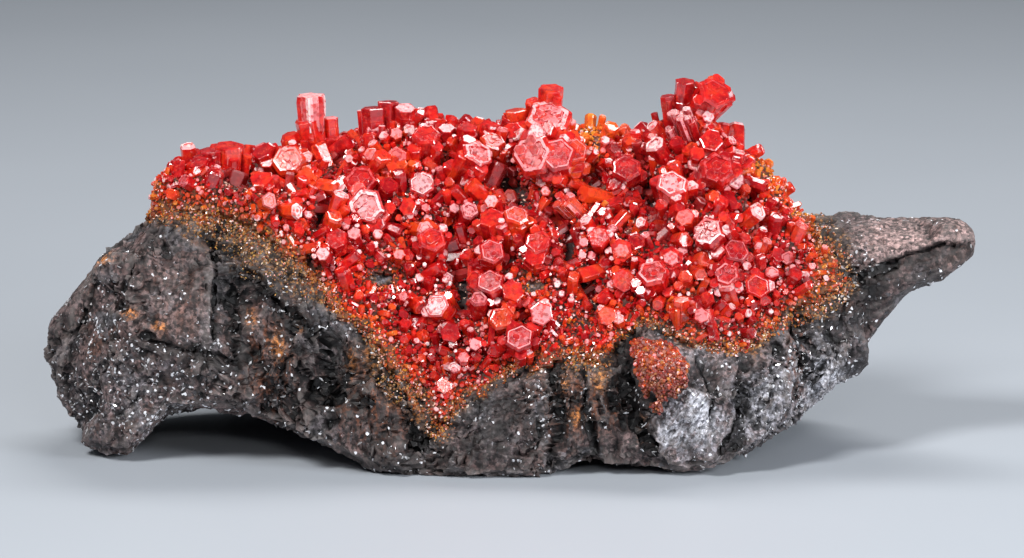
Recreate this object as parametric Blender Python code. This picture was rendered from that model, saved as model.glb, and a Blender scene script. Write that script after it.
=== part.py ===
"""Vanadinite crystals on a broken piece of dark iron and manganese rock, a cabinet mineral specimen.

The rock is a closed loft along X with fracture blocks fused to it, broken into flat-faced cells.
A crust of intergrown hexagonal prisms covers its top and the slope that faces -Y. A second, small
crust sits alone on a ledge of the front face.

World units are metres, +Z up, and the origin is the middle of the flat face that the rock rests on.
Tables are in millimetres and degrees.
"""

import itertools
import math
import random

import bmesh
import bpy
from mathutils import Euler, Matrix, Vector, noise
from mathutils.bvhtree import BVHTree

MM = 0.001

# The specimen's front is drawn on a plane that leans back by this angle: a place on it is a
# distance across from the middle and a distance up from the front foot.
FRONT_TILT = math.radians(12)
FRONT_FOOT = Vector((0, -17, 0)) * MM
ACROSS = Vector((1, 0, 0))
TOWARD_FRONT = Vector((0, -math.cos(FRONT_TILT), math.sin(FRONT_TILT)))
UPWARD = Vector((0, math.sin(FRONT_TILT), math.cos(FRONT_TILT)))
FAR = 100 * MM  # outside the specimen

# Rock sections along X. Each has the front foot, front belly, crust lip, ridge, back shoulder and
# back foot, as (y, z).
SECTIONS = (
    (-50.0, (-1.4, 10.2), (-2.4, 10.9), (-1.8, 11.7), (-0.4, 12.0), (0.8, 11.3), (0.3, 10.4)),
    (-48.0, (-5.0, 7.3), (-7.0, 10.0), (-5.0, 12.6), (0.0, 13.8), (4.0, 11.4), (3.0, 8.2)),
    (-46.3, (-6.5, 2.2), (-10.0, 9.0), (-6.5, 14.2), (0.0, 16.0), (6.5, 12.0), (5.0, 4.0)),
    (-44.2, (-8.0, -0.4), (-12.0, 8.0), (-7.5, 17.0), (0.0, 19.6), (8.0, 13.5), (6.5, 1.5)),
    (-41.5, (-9.0, -0.6), (-13.0, 8.5), (-8.0, 19.0), (1.0, 21.3), (9.5, 14.0), (7.5, 0.6)),
    (-38.3, (-9.5, 2.8), (-13.0, 12.0), (-7.0, 23.5), (1.0, 25.4), (11.0, 15.5), (9.5, 0.8)),
    (-33.0, (-9.5, 5.4), (-13.0, 14.0), (-7.5, 25.2), (2.0, 28.2), (13.0, 17.0), (11.5, 0.8)),
    (-27.6, (-10.5, 4.9), (-13.5, 14.0), (-8.5, 24.0), (3.0, 28.4), (14.0, 18.0), (13.0, 0.0)),
    (-22.2, (-13.0, 3.4), (-15.0, 11.0), (-9.5, 20.6), (5.0, 28.8), (15.0, 18.0), (14.5, -0.8)),
    (-17.0, (-15.0, 1.3), (-16.0, 8.0), (-11.5, 15.6), (6.0, 29.6), (16.0, 18.5), (15.5, -1.0)),
    (-11.6, (-16.5, -0.3), (-17.0, 5.5), (-13.5, 10.8), (6.5, 31.6), (16.5, 20.0), (16.0, -1.0)),
    (-7.3, (-17.0, -0.6), (-17.8, 2.6), (-16.2, 5.2), (6.5, 30.4), (17.0, 20.0), (16.5, -1.0)),
    (-0.9, (-17.0, -1.0), (-18.0, 4.5), (-15.0, 9.6), (6.5, 30.6), (17.0, 20.0), (17.0, -1.0)),
    (4.5, (-17.0, -0.4), (-18.0, 5.5), (-14.5, 11.6), (6.5, 30.8), (17.0, 20.5), (17.0, -1.0)),
    (9.8, (-16.0, 2.2), (-17.5, 6.5), (-14.5, 12.0), (7.0, 30.0), (17.0, 20.0), (16.5, -1.0)),
    (14.1, (-16.0, 1.0), (-17.5, 7.5), (-14.0, 14.8), (7.0, 30.0), (16.5, 20.0), (16.0, -1.0)),
    (20.5, (-16.5, 0.2), (-18.0, 6.5), (-14.0, 13.0), (6.0, 31.2), (15.5, 20.0), (15.5, -0.8)),
    (25.9, (-14.0, 2.2), (-15.8, 7.5), (-12.0, 12.8), (4.5, 27.6), (13.5, 18.0), (13.5, 0.5)),
    (31.2, (-11.0, 5.4), (-12.8, 10.0), (-9.0, 16.2), (3.0, 23.8), (11.5, 17.0), (11.0, 4.0)),
    (35.5, (-8.0, 8.2), (-9.8, 13.0), (-6.5, 18.4), (2.0, 23.6), (9.0, 18.0), (8.5, 8.0)),
    (38.7, (-5.5, 11.9), (-7.8, 16.0), (-5.5, 20.6), (1.0, 24.2), (7.0, 20.0), (6.0, 12.0)),
    (41.9, (-4.5, 16.4), (-6.8, 19.0), (-4.8, 22.4), (0.5, 24.3), (5.5, 21.0), (4.5, 16.5)),
    (46.2, (-3.4, 18.8), (-5.2, 20.6), (-3.8, 23.0), (0.3, 24.2), (4.0, 22.0), (3.0, 19.0)),
    (49.0, (-2.2, 20.4), (-3.4, 21.4), (-2.4, 22.8), (0.0, 23.4), (2.4, 22.2), (1.8, 20.8)),
    (50.0, (-0.8, 21.4), (-1.2, 21.8), (-0.9, 22.3), (0.0, 22.5), (0.8, 22.1), (0.6, 21.6)),
)
LOFT_STEP = 1.2
POINTS_PER_SPAN = 5

# Blocks that stand proud of the loft: middle (x, y, z), half sizes, turns about X, Y and Z.
BLOCKS = (
    ("left_slab", (-35.5, -11.4, 17.4), (4.6, 3.0, 6.6), (-8, 4, 6)),
    ("left_upper_knob", (-42.2, -6.0, 19.0), (3.0, 4.0, 2.6), (10, 20, -15)),
    ("left_step", (-30.2, -12.0, 12.4), (2.2, 2.6, 4.2), (-4, -6, 4)),
    ("left_foot", (-41.5, -8.0, 3.6), (4.2, 4.6, 4.0), (0, 12, 10)),
    ("rusty_rib", (-25.0, -13.8, 10.4), (2.0, 2.2, 6.0), (-6, 14, 0)),
    ("dark_rib", (-20.0, -15.0, 8.4), (2.6, 2.4, 6.4), (-6, -16, 0)),
    ("middle_left_column", (-13.8, -16.6, 6.0), (2.6, 2.2, 5.6), (-4, -24, 0)),
    ("slanted_lens", (-1.6, -17.6, 4.6), (6.4, 2.6, 3.0), (0, -36, 4)),
    ("lens_foot", (-0.6, -15.6, 1.6), (5.2, 3.2, 2.2), (0, -8, 0)),
    ("column_one", (6.4, -17.6, 6.6), (1.9, 2.2, 5.0), (-4, 8, 0)),
    ("column_two", (10.6, -17.0, 7.0), (1.7, 2.2, 4.6), (-4, -6, 0)),
    ("patch_ledge", (15.6, -17.8, 8.4), (2.6, 2.6, 5.6), (-12, 18, -14)),
    ("right_lobe", (20.6, -17.2, 5.6), (4.6, 3.0, 4.8), (-6, -34, 6)),
    ("right_rib_one", (27.4, -14.4, 7.6), (2.4, 2.8, 4.8), (-6, 26, 10)),
    ("right_rib_two", (32.2, -11.2, 10.6), (2.4, 2.6, 4.6), (-8, 28, 14)),
    ("right_knuckle", (37.3, -4.0, 12.6), (2.2, 3.0, 2.6), (0, 34, 20)),
    ("arm_top", (40.0, -3.4, 22.2), (7.0, 3.0, 2.2), (0, 1, 0)),
    ("back_slab", (-22.0, 13.0, 12.0), (9.0, 3.4, 9.0), (10, 6, -6)),
    ("back_middle", (4.0, 15.6, 12.0), (8.5, 3.4, 10.5), (8, -8, 4)),
    ("back_right", (21.0, 12.6, 11.0), (7.0, 3.6, 9.0), (10, 10, 10)),
)
BLOCK_POINTS = 18
BLOCK_SQUARENESS = 0.75

# The rock breaks into flat faces. Each row is the size of its cells, how much taller than wide they
# are, how flat a face is, and how far it may stand out or sink.
FRACTURES = (
    (11.0, 1.4, 0.85, 0.55),
    (5.0, 1.2, 0.70, 0.22),
)
CLEAVAGE = [Vector(d).normalized() for d in itertools.product((-1, 0, 1), repeat=3) if any(d)]
CLEAVAGE_PULL = 0.3  # how much a face turns to the nearest of those directions
SMOOTH_BEFORE, SMOOTH_AFTER = 4, 1
SMOOTH_SHARE = 0.25  # what is left of the breaks on the arm and under the crust
ARM_FROM = (34.0, 38.0)  # in X

ROCK_VOXEL = 0.9
ROCK_SHARE = 0.088  # the share of its triangles that is kept

# The crust's outline on the front, as (across, up). It is open to the ridge, and ends behind it.
CRUST_OUTLINE = (
    (-38.2, 27.5), (-33.0, 27.2), (-29.7, 27.5), (-27.6, 26.4), (-22.2, 22.5), (-19.0, 18.4),
    (-16.9, 16.5), (-14.8, 15.2), (-11.6, 11.4), (-9.4, 7.7), (-7.3, 5.0), (-4.1, 8.2),
    (-0.9, 10.0), (2.4, 12.0), (4.5, 12.2), (9.8, 12.5), (12.5, 15.2), (14.1, 16.3),
    (20.5, 13.6), (24.3, 13.0), (25.9, 13.6), (30.2, 16.3), (33.0, 18.4), (35.5, 20.0),
    (34.4, 23.7), (31.2, 27.5), (30.0, 60.0), (-38.2, 60.0),
)
CRUST_BACK = 12.0  # how far back it reaches, in Y
BACK_WANDER, BACK_LUMP = 3.0, 7.0  # how its back edge winds
CRUST_LOWEST = 3.8
CRUST_DEPTH = (0.9, 2.3)  # at its lower edge and along the ridge
CRUST_TAPER = 3.2  # the width of the margin in which it thins out
RIDGE_HEIGHT = (16.0, 30.0)  # in Z, from the lower edge to the ridge
RIDGE_Y = 5.0
PATCH_OUTLINE = ((13.2, 13.8), (17.2, 13.4), (18.7, 10.6), (16.8, 7.6), (15.7, 5.8), (14.4, 9.6))
PATCH_DEPTH = 1.2
PATCH_TAPER = 1.0
CONTACT_GAP = 0.45
SHELL_VOXEL = 1.2
SHELL_LUMP, SHELL_UNEVEN = 3.0, 0.3  # the size and the share of its swellings
SHELL_SHARE = 0.07  # the share of a shell's triangles that is kept
ROOT_DEPTH = 2.0  # how far a crystal starts inside the rock, before the rock is cut away

# How a crystal's width runs from its root to its cap, as (share of length, share of width).
FORMS = {
    "plain": ((0, 1), (1, 1)),
    "flat": ((0, 1), (0.94, 1), (1, 0.84)),
    "barrel": ((0, 0.8), (0.55, 1.04), (0.9, 0.96), (1, 0.78)),
    "point": ((0, 1), (0.74, 1), (1, 0.3)),
    "hopper": ((0, 0.95), (0.93, 1), (1, 0.88), (1, 0.68), (0.9, 0.5)),
}
# Crystals of the crust: middle of the cap (across, up), radius, height above the rock, how far it
# leans to the right and upwards from straight out of the front, and form.
CRYSTALS = (
    (4.3, 38.3, 2.6, 6.0, -8, 25, "hopper"),
    (4.7, 41.3, 1.4, 5.5, 5, 80, "plain"),
    (0.9, 38.8, 1.3, 4.0, -15, 60, "plain"),
    (0.5, 36.7, 1.1, 3.5, -10, 35, "plain"),
    (2.6, 33.9, 2.6, 6.5, -14, 22, "barrel"),
    (5.2, 34.0, 2.1, 6.0, -2, 24, "flat"),
    (7.2, 34.4, 1.6, 5.5, 12, 25, "flat"),
    (7.0, 35.9, 1.0, 4.0, 14, 35, "plain"),
    (13.3, 35.8, 1.1, 3.5, 5, 45, "plain"),
    (12.6, 32.6, 1.7, 4.5, -5, 20, "flat"),
    (19.1, 42.0, 1.2, 6.0, 10, 75, "plain"),
    (17.2, 40.4, 0.9, 5.0, 0, 80, "plain"),
    (18.0, 38.9, 1.7, 6.0, -30, 50, "flat"),
    (22.4, 40.7, 2.1, 5.5, 25, 45, "hopper"),
    (21.3, 38.6, 1.1, 4.0, 5, 25, "plain"),
    (21.9, 35.6, 1.4, 4.0, 10, 30, "plain"),
    (22.4, 32.6, 2.1, 4.5, 8, 20, "barrel"),
    (24.9, 34.3, 0.9, 3.5, 25, 55, "point"),
    (17.5, 30.9, 1.8, 4.5, -6, 35, "flat"),
    (21.2, 25.7, 2.0, 4.5, -20, 25, "barrel"),
    (18.8, 27.2, 1.1, 3.5, -10, 30, "plain"),
    (5.8, 29.5, 1.2, 4.5, -45, 35, "plain"),
    (3.2, 24.6, 1.5, 3.5, -5, 20, "flat"),
    (0.9, 27.6, 1.5, 4.0, 8, 45, "flat"),
    (-21.3, 39.8, 1.5, 5.0, 0, 75, "flat"),
    (-21.5, 38.0, 1.6, 3.5, -5, 45, "flat"),
    (-23.5, 36.3, 1.2, 4.0, -15, 50, "point"),
    (-18.9, 36.0, 1.2, 3.5, 15, 35, "plain"),
    (-23.7, 33.5, 2.0, 4.0, -8, 25, "barrel"),
    (-26.3, 34.4, 1.3, 4.0, -30, 40, "plain"),
    (-21.6, 31.7, 1.1, 3.0, 0, 15, "plain"),
    (-26.3, 31.4, 1.3, 3.0, -15, 45, "plain"),
    (-29.9, 35.2, 1.3, 4.5, 5, 70, "plain"),
    (-31.7, 34.2, 1.4, 4.0, -10, 65, "plain"),
    (-33.4, 33.6, 1.0, 3.5, -25, 60, "plain"),
    (-14.3, 38.6, 1.3, 4.5, -10, 60, "plain"),
    (-12.9, 39.2, 1.1, 4.5, 10, 65, "plain"),
    (-14.2, 36.3, 1.3, 3.5, 0, 25, "plain"),
    (-11.1, 39.1, 1.2, 3.5, 5, 55, "plain"),
    (-8.8, 36.3, 1.6, 4.5, 10, 45, "flat"),
    (-6.6, 36.9, 1.0, 3.5, 0, 55, "plain"),
    (-4.4, 37.0, 1.2, 4.0, 5, 65, "plain"),
    (-3.1, 34.3, 1.9, 5.0, 28, 40, "hopper"),
    (-1.6, 35.6, 1.5, 4.0, 15, 50, "flat"),
    (-9.2, 30.9, 1.5, 3.5, -5, 15, "flat"),
    (-15.1, 28.4, 2.1, 3.5, -8, 12, "hopper"),
    (-10.7, 28.4, 1.0, 3.0, 0, 15, "plain"),
    (-15.7, 31.3, 1.9, 3.5, 5, 30, "barrel"),
    (-17.6, 30.9, 1.0, 3.0, -10, 15, "plain"),
    (-12.0, 33.0, 1.3, 3.5, 0, 35, "plain"),
    (-18.3, 25.0, 1.3, 3.5, -12, 30, "plain"),
    (-8.1, 25.0, 1.6, 4.0, 10, 35, "flat"),
    (-1.6, 23.7, 1.5, 3.5, 5, 25, "flat"),
    (-1.8, 27.2, 1.4, 4.0, -10, 40, "plain"),
    (3.6, 17.0, 1.3, 3.0, 0, 5, "plain"),
    (-0.6, 16.6, 1.5, 3.0, -5, 20, "barrel"),
    (-7.5, 18.2, 1.2, 3.5, -25, 45, "plain"),
    (-6.8, 9.3, 0.9, 1.5, 0, 5, "plain"),
    (-1.9, 20.4, 1.6, 3.5, -15, 30, "flat"),
    (0.6, 19.4, 1.3, 3.0, 10, 20, "plain"),
    (2.9, 23.1, 1.2, 3.0, 5, 25, "plain"),
    (-6.1, 15.0, 1.2, 2.5, 0, 15, "plain"),
    (10.5, 16.8, 1.1, 2.5, 5, 10, "plain"),
    (1.3, 14.5, 1.7, 2.5, 0, 30, "flat"),
    (24.3, 23.7, 1.5, 3.5, 15, 25, "flat"),
    (23.2, 21.2, 1.5, 3.0, 0, 20, "barrel"),
    (26.6, 19.9, 1.5, 3.0, 25, 10, "flat"),
    (12.3, 20.5, 1.3, 3.0, -10, 20, "plain"),
    (15.3, 21.4, 1.8, 3.5, -10, 30, "barrel"),
    (17.3, 22.9, 1.4, 3.0, 5, 25, "plain"),
    (18.4, 18.5, 0.9, 3.0, 0, 60, "plain"),
    (28.9, 23.3, 0.9, 2.5, 20, 20, "plain"),
    (12.1, 23.7, 1.3, 3.0, 0, 20, "plain"),
    (9.6, 25.1, 1.3, 3.5, -10, 25, "plain"),
)
# Sprays of small crystals: middle (across, up), spread, height, and how many.
SPRAYS = (
    (8.9, 36.0, 1.5, 3.6, 4),
    (11.9, 37.0, 1.5, 3.6, 4),
    (27.5, 32.0, 1.6, 3.4, 4),
    (16.8, 20.2, 1.2, 3.0, 3),
)
SPRAY_RADIUS = 0.85
SPRAY_RISE, SPRAY_FAN = 40, 35  # how far they lean upwards, and how far they fan out from that

# Crystals that fill the crust between those of the table.
FILL_STEP = 3.5
FILL_CELLS = 13  # on each side of the middle
FILL_FACING = 0.3  # how squarely the rock faces the side it is seen from
FILL_RADIUS = (1.1, 1.8)
FILL_HEIGHT = (1.0, 2.4)
FILL_SPREAD = 26  # how far they lean off the rock's own surface
FILL_MARGIN = 1.4  # no nearer to the edge of the crust
FILL_CLEAR = 0.95  # no closer to another than this share of the two radii
FILL_SIDES = ((0, -0.6, 0.8), (0, 0.6, 0.8), (0.8, -0.1, 0.6), (-0.8, -0.1, 0.6))

# Crystals of the small crust: middle of the cap (across, up), radius and height.
PATCH_CRYSTALS = (
    (14.6, 12.9, 0.5, 0.9), (15.9, 12.7, 0.6, 1.0), (17.0, 12.2, 0.6, 1.0), (17.9, 10.9, 0.5, 0.8),
    (16.7, 10.9, 0.6, 1.0), (15.5, 11.2, 0.6, 1.0), (16.2, 9.5, 0.5, 0.9), (15.4, 8.4, 0.45, 0.8),
    (17.3, 9.4, 0.45, 0.8), (14.9, 10.0, 0.5, 0.8),
)
PATCH_FAN = 25  # how far they lean to the sides and upwards

# Colour, roughness and metallic share of each material.
MATERIALS = {
    "iron_manganese_rock": ((0.095, 0.078, 0.072), 0.72, 0.0),
    "red_vanadinite": ((0.62, 0.028, 0.018), 0.2, 0.0),
    "orange_vanadinite": ((0.60, 0.12, 0.025), 0.28, 0.0),
}


def clear_scene():
    for obj in list(bpy.data.objects):
        bpy.data.objects.remove(obj, do_unlink=True)


def mesh_object(name, bm):
    mesh = bpy.data.meshes.new(name)
    bm.to_mesh(mesh)
    bm.free()
    obj = bpy.data.objects.new(name, mesh)
    bpy.context.scene.collection.objects.link(obj)
    return obj


def evaluated_mesh(obj):
    """A new mesh of the object with its modifiers applied."""
    bpy.context.view_layer.update()
    graph = bpy.context.evaluated_depsgraph_get()
    return bpy.data.meshes.new_from_object(obj.evaluated_get(graph), depsgraph=graph)


def apply_modifiers(obj):
    mesh = evaluated_mesh(obj)
    obj.modifiers.clear()
    obj.data = mesh


def smooth_curve(points, t):
    """Catmull-Rom value at t, in spans, through a list of vectors."""
    last = len(points) - 1
    i = min(int(t), last - 1)
    f = t - i
    p0, p1, p2, p3 = (points[min(max(i + k, 0), last)] for k in (-1, 0, 1, 2))
    square = 2 * p0 - 5 * p1 + 4 * p2 - p3
    cube = 3 * p1 - p0 - 3 * p2 + p3
    return 0.5 * (2 * p1 + (p2 - p0) * f + square * f**2 + cube * f**3)


def section_at(x):
    """The six (y, z) corners of the rock at x, smoothly between the listed sections."""
    xs = [row[0] for row in SECTIONS]
    i = max(k for k in range(len(xs) - 1) if xs[k] <= x)
    t = i + (x - xs[i]) / (xs[i + 1] - xs[i])
    return [smooth_curve([Vector(row[1 + c]) for row in SECTIONS], t) for c in range(6)]


def ring_at(x):
    """Points round the rock at x: a smooth closed curve through the six corners."""
    corners = section_at(x)
    count = len(corners)
    ring = []
    for span in range(count):
        around = [corners[(span + k) % count] for k in (-1, 0, 1, 2)]
        for step in range(POINTS_PER_SPAN):
            p = smooth_curve(around, 1 + step / POINTS_PER_SPAN)
            ring.append(Vector((x, p.x, p.y)))
    return ring


def add_loft(bm):
    first, last = SECTIONS[0][0], SECTIONS[-1][0]
    steps = round((last - first) / LOFT_STEP)
    rings = []
    for i in range(steps + 1):
        x = min(first + i * (last - first) / steps, last - 1e-6)
        rings.append([bm.verts.new(p * MM) for p in ring_at(x)])
    for a, b in zip(rings, rings[1:]):
        for k in range(len(a)):
            n = (k + 1) % len(a)
            bm.faces.new((a[k], a[n], b[n], b[k]))
    bm.faces.new(list(reversed(rings[0])))
    bm.faces.new(rings[-1])


def add_block(bm, name, middle, half, turns):
    """A convex lump between a box and an ellipsoid, with a corner at each of its seeded points."""
    rng = random.Random(name)
    turned = Euler([math.radians(a) for a in turns]).to_matrix().to_4x4()
    place = Matrix.Translation(Vector(middle) * MM) @ turned
    verts = []
    for _ in range(BLOCK_POINTS):
        d = Vector([rng.gauss(0, 1) for _ in range(3)]).normalized()
        box = d / max(abs(c) for c in d)
        p = d.lerp(box, BLOCK_SQUARENESS)
        verts.append(bm.verts.new(place @ Vector([c * h * MM for c, h in zip(p, half)])))
    made = bmesh.ops.convex_hull(bm, input=verts)
    inner = [v for v in made["geom_interior"] if isinstance(v, bmesh.types.BMVert)]
    bmesh.ops.delete(bm, geom=inner, context="VERTS")


def smooth_step(low, high, value):
    share = min(1, max(0, (value - low) / (high - low)))
    return share * share * (3 - 2 * share)


def break_strength(point):
    """How strongly the rock is broken at a point: less along the arm and under the crust."""
    calm = max(smooth_step(*ARM_FROM, point.x / MM), smooth_step(0, 2, crust_margin(point)))
    return 1 - (1 - SMOOTH_SHARE) * calm


def broken_faces(bm, stretch):
    """Groups of vertices: those of one cell that look roughly the same way."""
    groups = {}
    for v in bm.verts:
        spot = Vector([c / s for c, s in zip(v.co, stretch)])
        cell = noise.voronoi(spot)[1][0].to_tuple(3)
        facing = max(range(len(CLEAVAGE)), key=lambda k: v.normal.dot(CLEAVAGE[k]))
        groups.setdefault((cell, facing), []).append(v)
    return groups


def break_surface(bm):
    """Presses each broken face towards a plane through its middle."""
    for size, taller, flatness, step in FRACTURES:
        groups = broken_faces(bm, Vector((size, size, size * taller)) * MM)
        for (cell, facing), verts in groups.items():
            mean_normal = sum((v.normal for v in verts), Vector()) / len(verts)
            normal = (mean_normal + CLEAVAGE[facing] * CLEAVAGE_PULL).normalized()
            middle = sum((v.co for v in verts), Vector()) / len(verts)
            strength = break_strength(middle) * flatness
            middle += normal * noise.cell(Vector(cell) * 7 + CLEAVAGE[facing] * 3) * step * MM
            for v in verts:
                v.co -= normal * (v.co - middle).dot(normal) * strength
        bm.normal_update()


def keep_largest_island(bm):
    left, islands = set(bm.verts), []
    while left:
        stack, island = [next(iter(left))], set()
        left.discard(stack[0])
        while stack:
            v = stack.pop()
            island.add(v)
            for e in v.link_edges:
                o = e.other_vert(v)
                if o in left:
                    left.discard(o)
                    stack.append(o)
        islands.append(island)
    islands.sort(key=len)
    bmesh.ops.delete(bm, geom=[v for island in islands[:-1] for v in island], context="VERTS")


def cut_flat_base(bm):
    """Cuts off what is below z = 0 and closes each cut with one flat face."""
    everything = bm.verts[:] + bm.edges[:] + bm.faces[:]
    cut = bmesh.ops.bisect_plane(
        bm, geom=everything, plane_co=(0, 0, 0), plane_no=(0, 0, -1), clear_outer=True
    )
    edges = [e for e in cut["geom_cut"] if isinstance(e, bmesh.types.BMEdge)]
    bmesh.ops.holes_fill(bm, edges=edges, sides=0)


def voxel_fuse(obj, size):
    fuse = obj.modifiers.new("fuse", "REMESH")
    fuse.mode = "VOXEL"
    fuse.voxel_size = size * MM
    apply_modifiers(obj)


def decimate(obj, share):
    fewer = obj.modifiers.new("fewer", "DECIMATE")
    fewer.ratio = share
    apply_modifiers(obj)


def edit(obj, change):
    """Runs a change on the object's mesh as a bmesh."""
    bm = bmesh.new()
    bm.from_mesh(obj.data)
    change(bm)
    bmesh.ops.recalc_face_normals(bm, faces=bm.faces)
    bm.to_mesh(obj.data)
    bm.free()


def smooth(bm, times):
    for _ in range(times):
        bmesh.ops.smooth_vert(
            bm, verts=bm.verts, factor=0.5, use_axis_x=True, use_axis_y=True, use_axis_z=True
        )
    bm.normal_update()


def break_rock(bm):
    keep_largest_island(bm)
    smooth(bm, SMOOTH_BEFORE)
    break_surface(bm)
    smooth(bm, SMOOTH_AFTER)


def make_rock():
    bm = bmesh.new()
    add_loft(bm)
    for name, middle, half, turns in BLOCKS:
        add_block(bm, name, middle, half, turns)
    bmesh.ops.recalc_face_normals(bm, faces=bm.faces)
    rock = mesh_object("matrix", bm)
    voxel_fuse(rock, ROCK_VOXEL)
    edit(rock, break_rock)
    decimate(rock, ROCK_SHARE)
    edit(rock, cut_flat_base)
    return rock


def outline_depth(outline, across, up):
    """How far a place lies inside an outline, or minus how far outside it."""
    nearest, inside = math.inf, False
    here = Vector((across, up))
    for a, b in zip(outline, outline[1:] + outline[:1]):
        start, side = Vector(a), Vector(b) - Vector(a)
        share = min(1, max(0, (here - start).dot(side) / side.length_squared))
        nearest = min(nearest, (here - start - side * share).length)
        crosses = (a[1] > up) != (b[1] > up)
        if crosses and across < a[0] + (up - a[1]) * side.x / side.y:
            inside = not inside
    return nearest if inside else -nearest


def front_place(point):
    """(across, up) of a point, in millimetres."""
    return (point - FRONT_FOOT).dot(ACROSS) / MM, (point - FRONT_FOOT).dot(UPWARD) / MM


def crust_margin(point):
    """How far a point of the rock lies inside the crust's area, in millimetres."""
    depth = outline_depth(CRUST_OUTLINE, *front_place(point))
    back = CRUST_BACK + BACK_WANDER * noise.noise(point / (BACK_LUMP * MM))
    return min(depth, back - point.y / MM, point.z / MM - CRUST_LOWEST)


def patch_margin(point):
    if point.y > 0:
        return -CRUST_TAPER
    return outline_depth(PATCH_OUTLINE, *front_place(point))


def crust_depth(point):
    low, high = CRUST_DEPTH
    return low + (high - low) * smooth_step(*RIDGE_HEIGHT, point.z / MM)


def patch_depth(_point):
    return PATCH_DEPTH


def swollen_rock(rock, name, margin, depth, taper):
    """The rock, thicker within an area and thinner outside it."""
    bm = bmesh.new()
    bm.from_mesh(rock.data)
    bm.normal_update()
    moves = []
    for v in bm.verts:
        share = min(1, margin(v.co) / taper)
        uneven = 1 + SHELL_UNEVEN * noise.noise(v.co / (SHELL_LUMP * MM))
        out = share * depth(v.co) * uneven + CONTACT_GAP if share > 0 else -CONTACT_GAP
        moves.append(v.normal * out * MM)
    for v, move in zip(bm.verts, moves):
        v.co += move
    swollen = mesh_object(name, bm)
    voxel_fuse(swollen, SHELL_VOXEL)
    decimate(swollen, SHELL_SHARE)
    return swollen


def rock_cutter(rock):
    """The rock with the contact gap added all round it."""
    bm = bmesh.new()
    bm.from_mesh(rock.data)
    bm.normal_update()
    for v in bm.verts:
        v.co += v.normal * CONTACT_GAP * MM
    cutter = mesh_object("rock_cutter", bm)
    cutter.hide_render = True
    cutter.display_type = "WIRE"
    return cutter


def leaning(right, up):
    """A direction that leans from straight out of the front by two angles."""
    a, b = math.radians(right), math.radians(up)
    level = ACROSS * math.sin(a) + TOWARD_FRONT * math.cos(a)
    return level * math.cos(b) + UPWARD * math.sin(b)


def stand(tree, across, up, height, axis):
    """Root, axis and height of a crystal whose cap is at a place of the front.

    Where its axis starts beside the rock, it grows from the nearest place of the ridge instead.
    """
    cap = FRONT_FOOT + (ACROSS * across + UPWARD * up) * MM
    root = tree.ray_cast(cap - axis * height * MM + TOWARD_FRONT * FAR, -TOWARD_FRONT)[0]
    if root:
        return root, axis, height
    cap -= TOWARD_FRONT * (RIDGE_Y * MM - cap.y) / -TOWARD_FRONT.y
    root = tree.find_nearest(cap - axis * height * MM)[0]
    return root, (cap - root).normalized(), (cap - root).length / MM


def add_prism(bm, root, axis, radius, height, form, roll):
    """A closed hexagonal prism from inside the rock to its cap."""
    side = axis.orthogonal().normalized()
    other = axis.cross(side)
    start, length = root - axis * ROOT_DEPTH * MM, (height + ROOT_DEPTH) * MM
    rings = []
    for along, wide in FORMS[form]:
        ring = []
        for k in range(6):
            angle = math.radians(roll + 60 * k)
            spoke = side * math.cos(angle) + other * math.sin(angle)
            ring.append(bm.verts.new(start + axis * along * length + spoke * wide * radius * MM))
        rings.append(ring)
    for low, high in zip(rings, rings[1:]):
        for k in range(6):
            n = (k + 1) % 6
            bm.faces.new((low[k], low[n], high[n], high[k]))
    bm.faces.new(list(reversed(rings[0])))
    bm.faces.new(rings[-1])


def add_table_crystals(bm, tree):
    """Adds the crystals of the table, and gives their roots and radii."""
    placed = []
    for i, (across, up, radius, height, right, lean_up, form) in enumerate(CRYSTALS):
        root, axis, height = stand(tree, across, up, height, leaning(right, lean_up))
        add_prism(bm, root, axis, radius, height, form, roll=random.Random(i).uniform(0, 60))
        placed.append((root, radius))
    return placed


def add_sprays(bm, tree):
    placed = []
    for i, (across, up, spread, height, count) in enumerate(SPRAYS):
        for k in range(count):
            rng = random.Random(1000 * (i + 1) + k)
            turn = 2 * math.pi * k / count
            right, lean_up = SPRAY_FAN * math.cos(turn), SPRAY_RISE + SPRAY_FAN * math.sin(turn)
            x, y = across + spread * math.cos(turn), up + spread * math.sin(turn)
            root, axis, tall = stand(tree, x, y, height, leaning(right, lean_up))
            add_prism(bm, root, axis, SPRAY_RADIUS, tall, "plain", roll=rng.uniform(0, 60))
            placed.append((root, SPRAY_RADIUS))
    return placed


def fill_spots(tree):
    """Roots, normals and random streams on a loose grid over the crust, as seen from each side."""
    cells = range(-FILL_CELLS, FILL_CELLS)
    for side in FILL_SIDES:
        outward = Vector(side).normalized()
        right = Vector((0, 0, 1)).cross(outward).normalized()
        upward = outward.cross(right)
        for i, j in itertools.product(cells, cells):
            rng = random.Random(f"{side} {i} {j}")
            x, y = (i + rng.random()) * FILL_STEP, (j + rng.random()) * FILL_STEP
            start = (right * x + upward * y) * MM + outward * FAR
            root, normal = tree.ray_cast(start, -outward)[:2]
            if root and normal.dot(outward) > FILL_FACING and crust_margin(root) > FILL_MARGIN:
                yield root, normal, rng


def add_fill_crystals(bm, tree, placed):
    """Fills the crust's area with crystals where the table leaves room."""
    for root, normal, rng in fill_spots(tree):
        radius, height = rng.uniform(*FILL_RADIUS), rng.uniform(*FILL_HEIGHT)
        if any((root - p).length < (radius + r) * FILL_CLEAR * MM for p, r in placed):
            continue
        axis = normal.copy()
        axis.rotate(Euler([math.radians(rng.uniform(-1, 1) * FILL_SPREAD) for _ in range(3)]))
        add_prism(bm, root, axis, radius, height + crust_depth(root), "plain", rng.uniform(0, 60))
        placed.append((root, radius))


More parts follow.
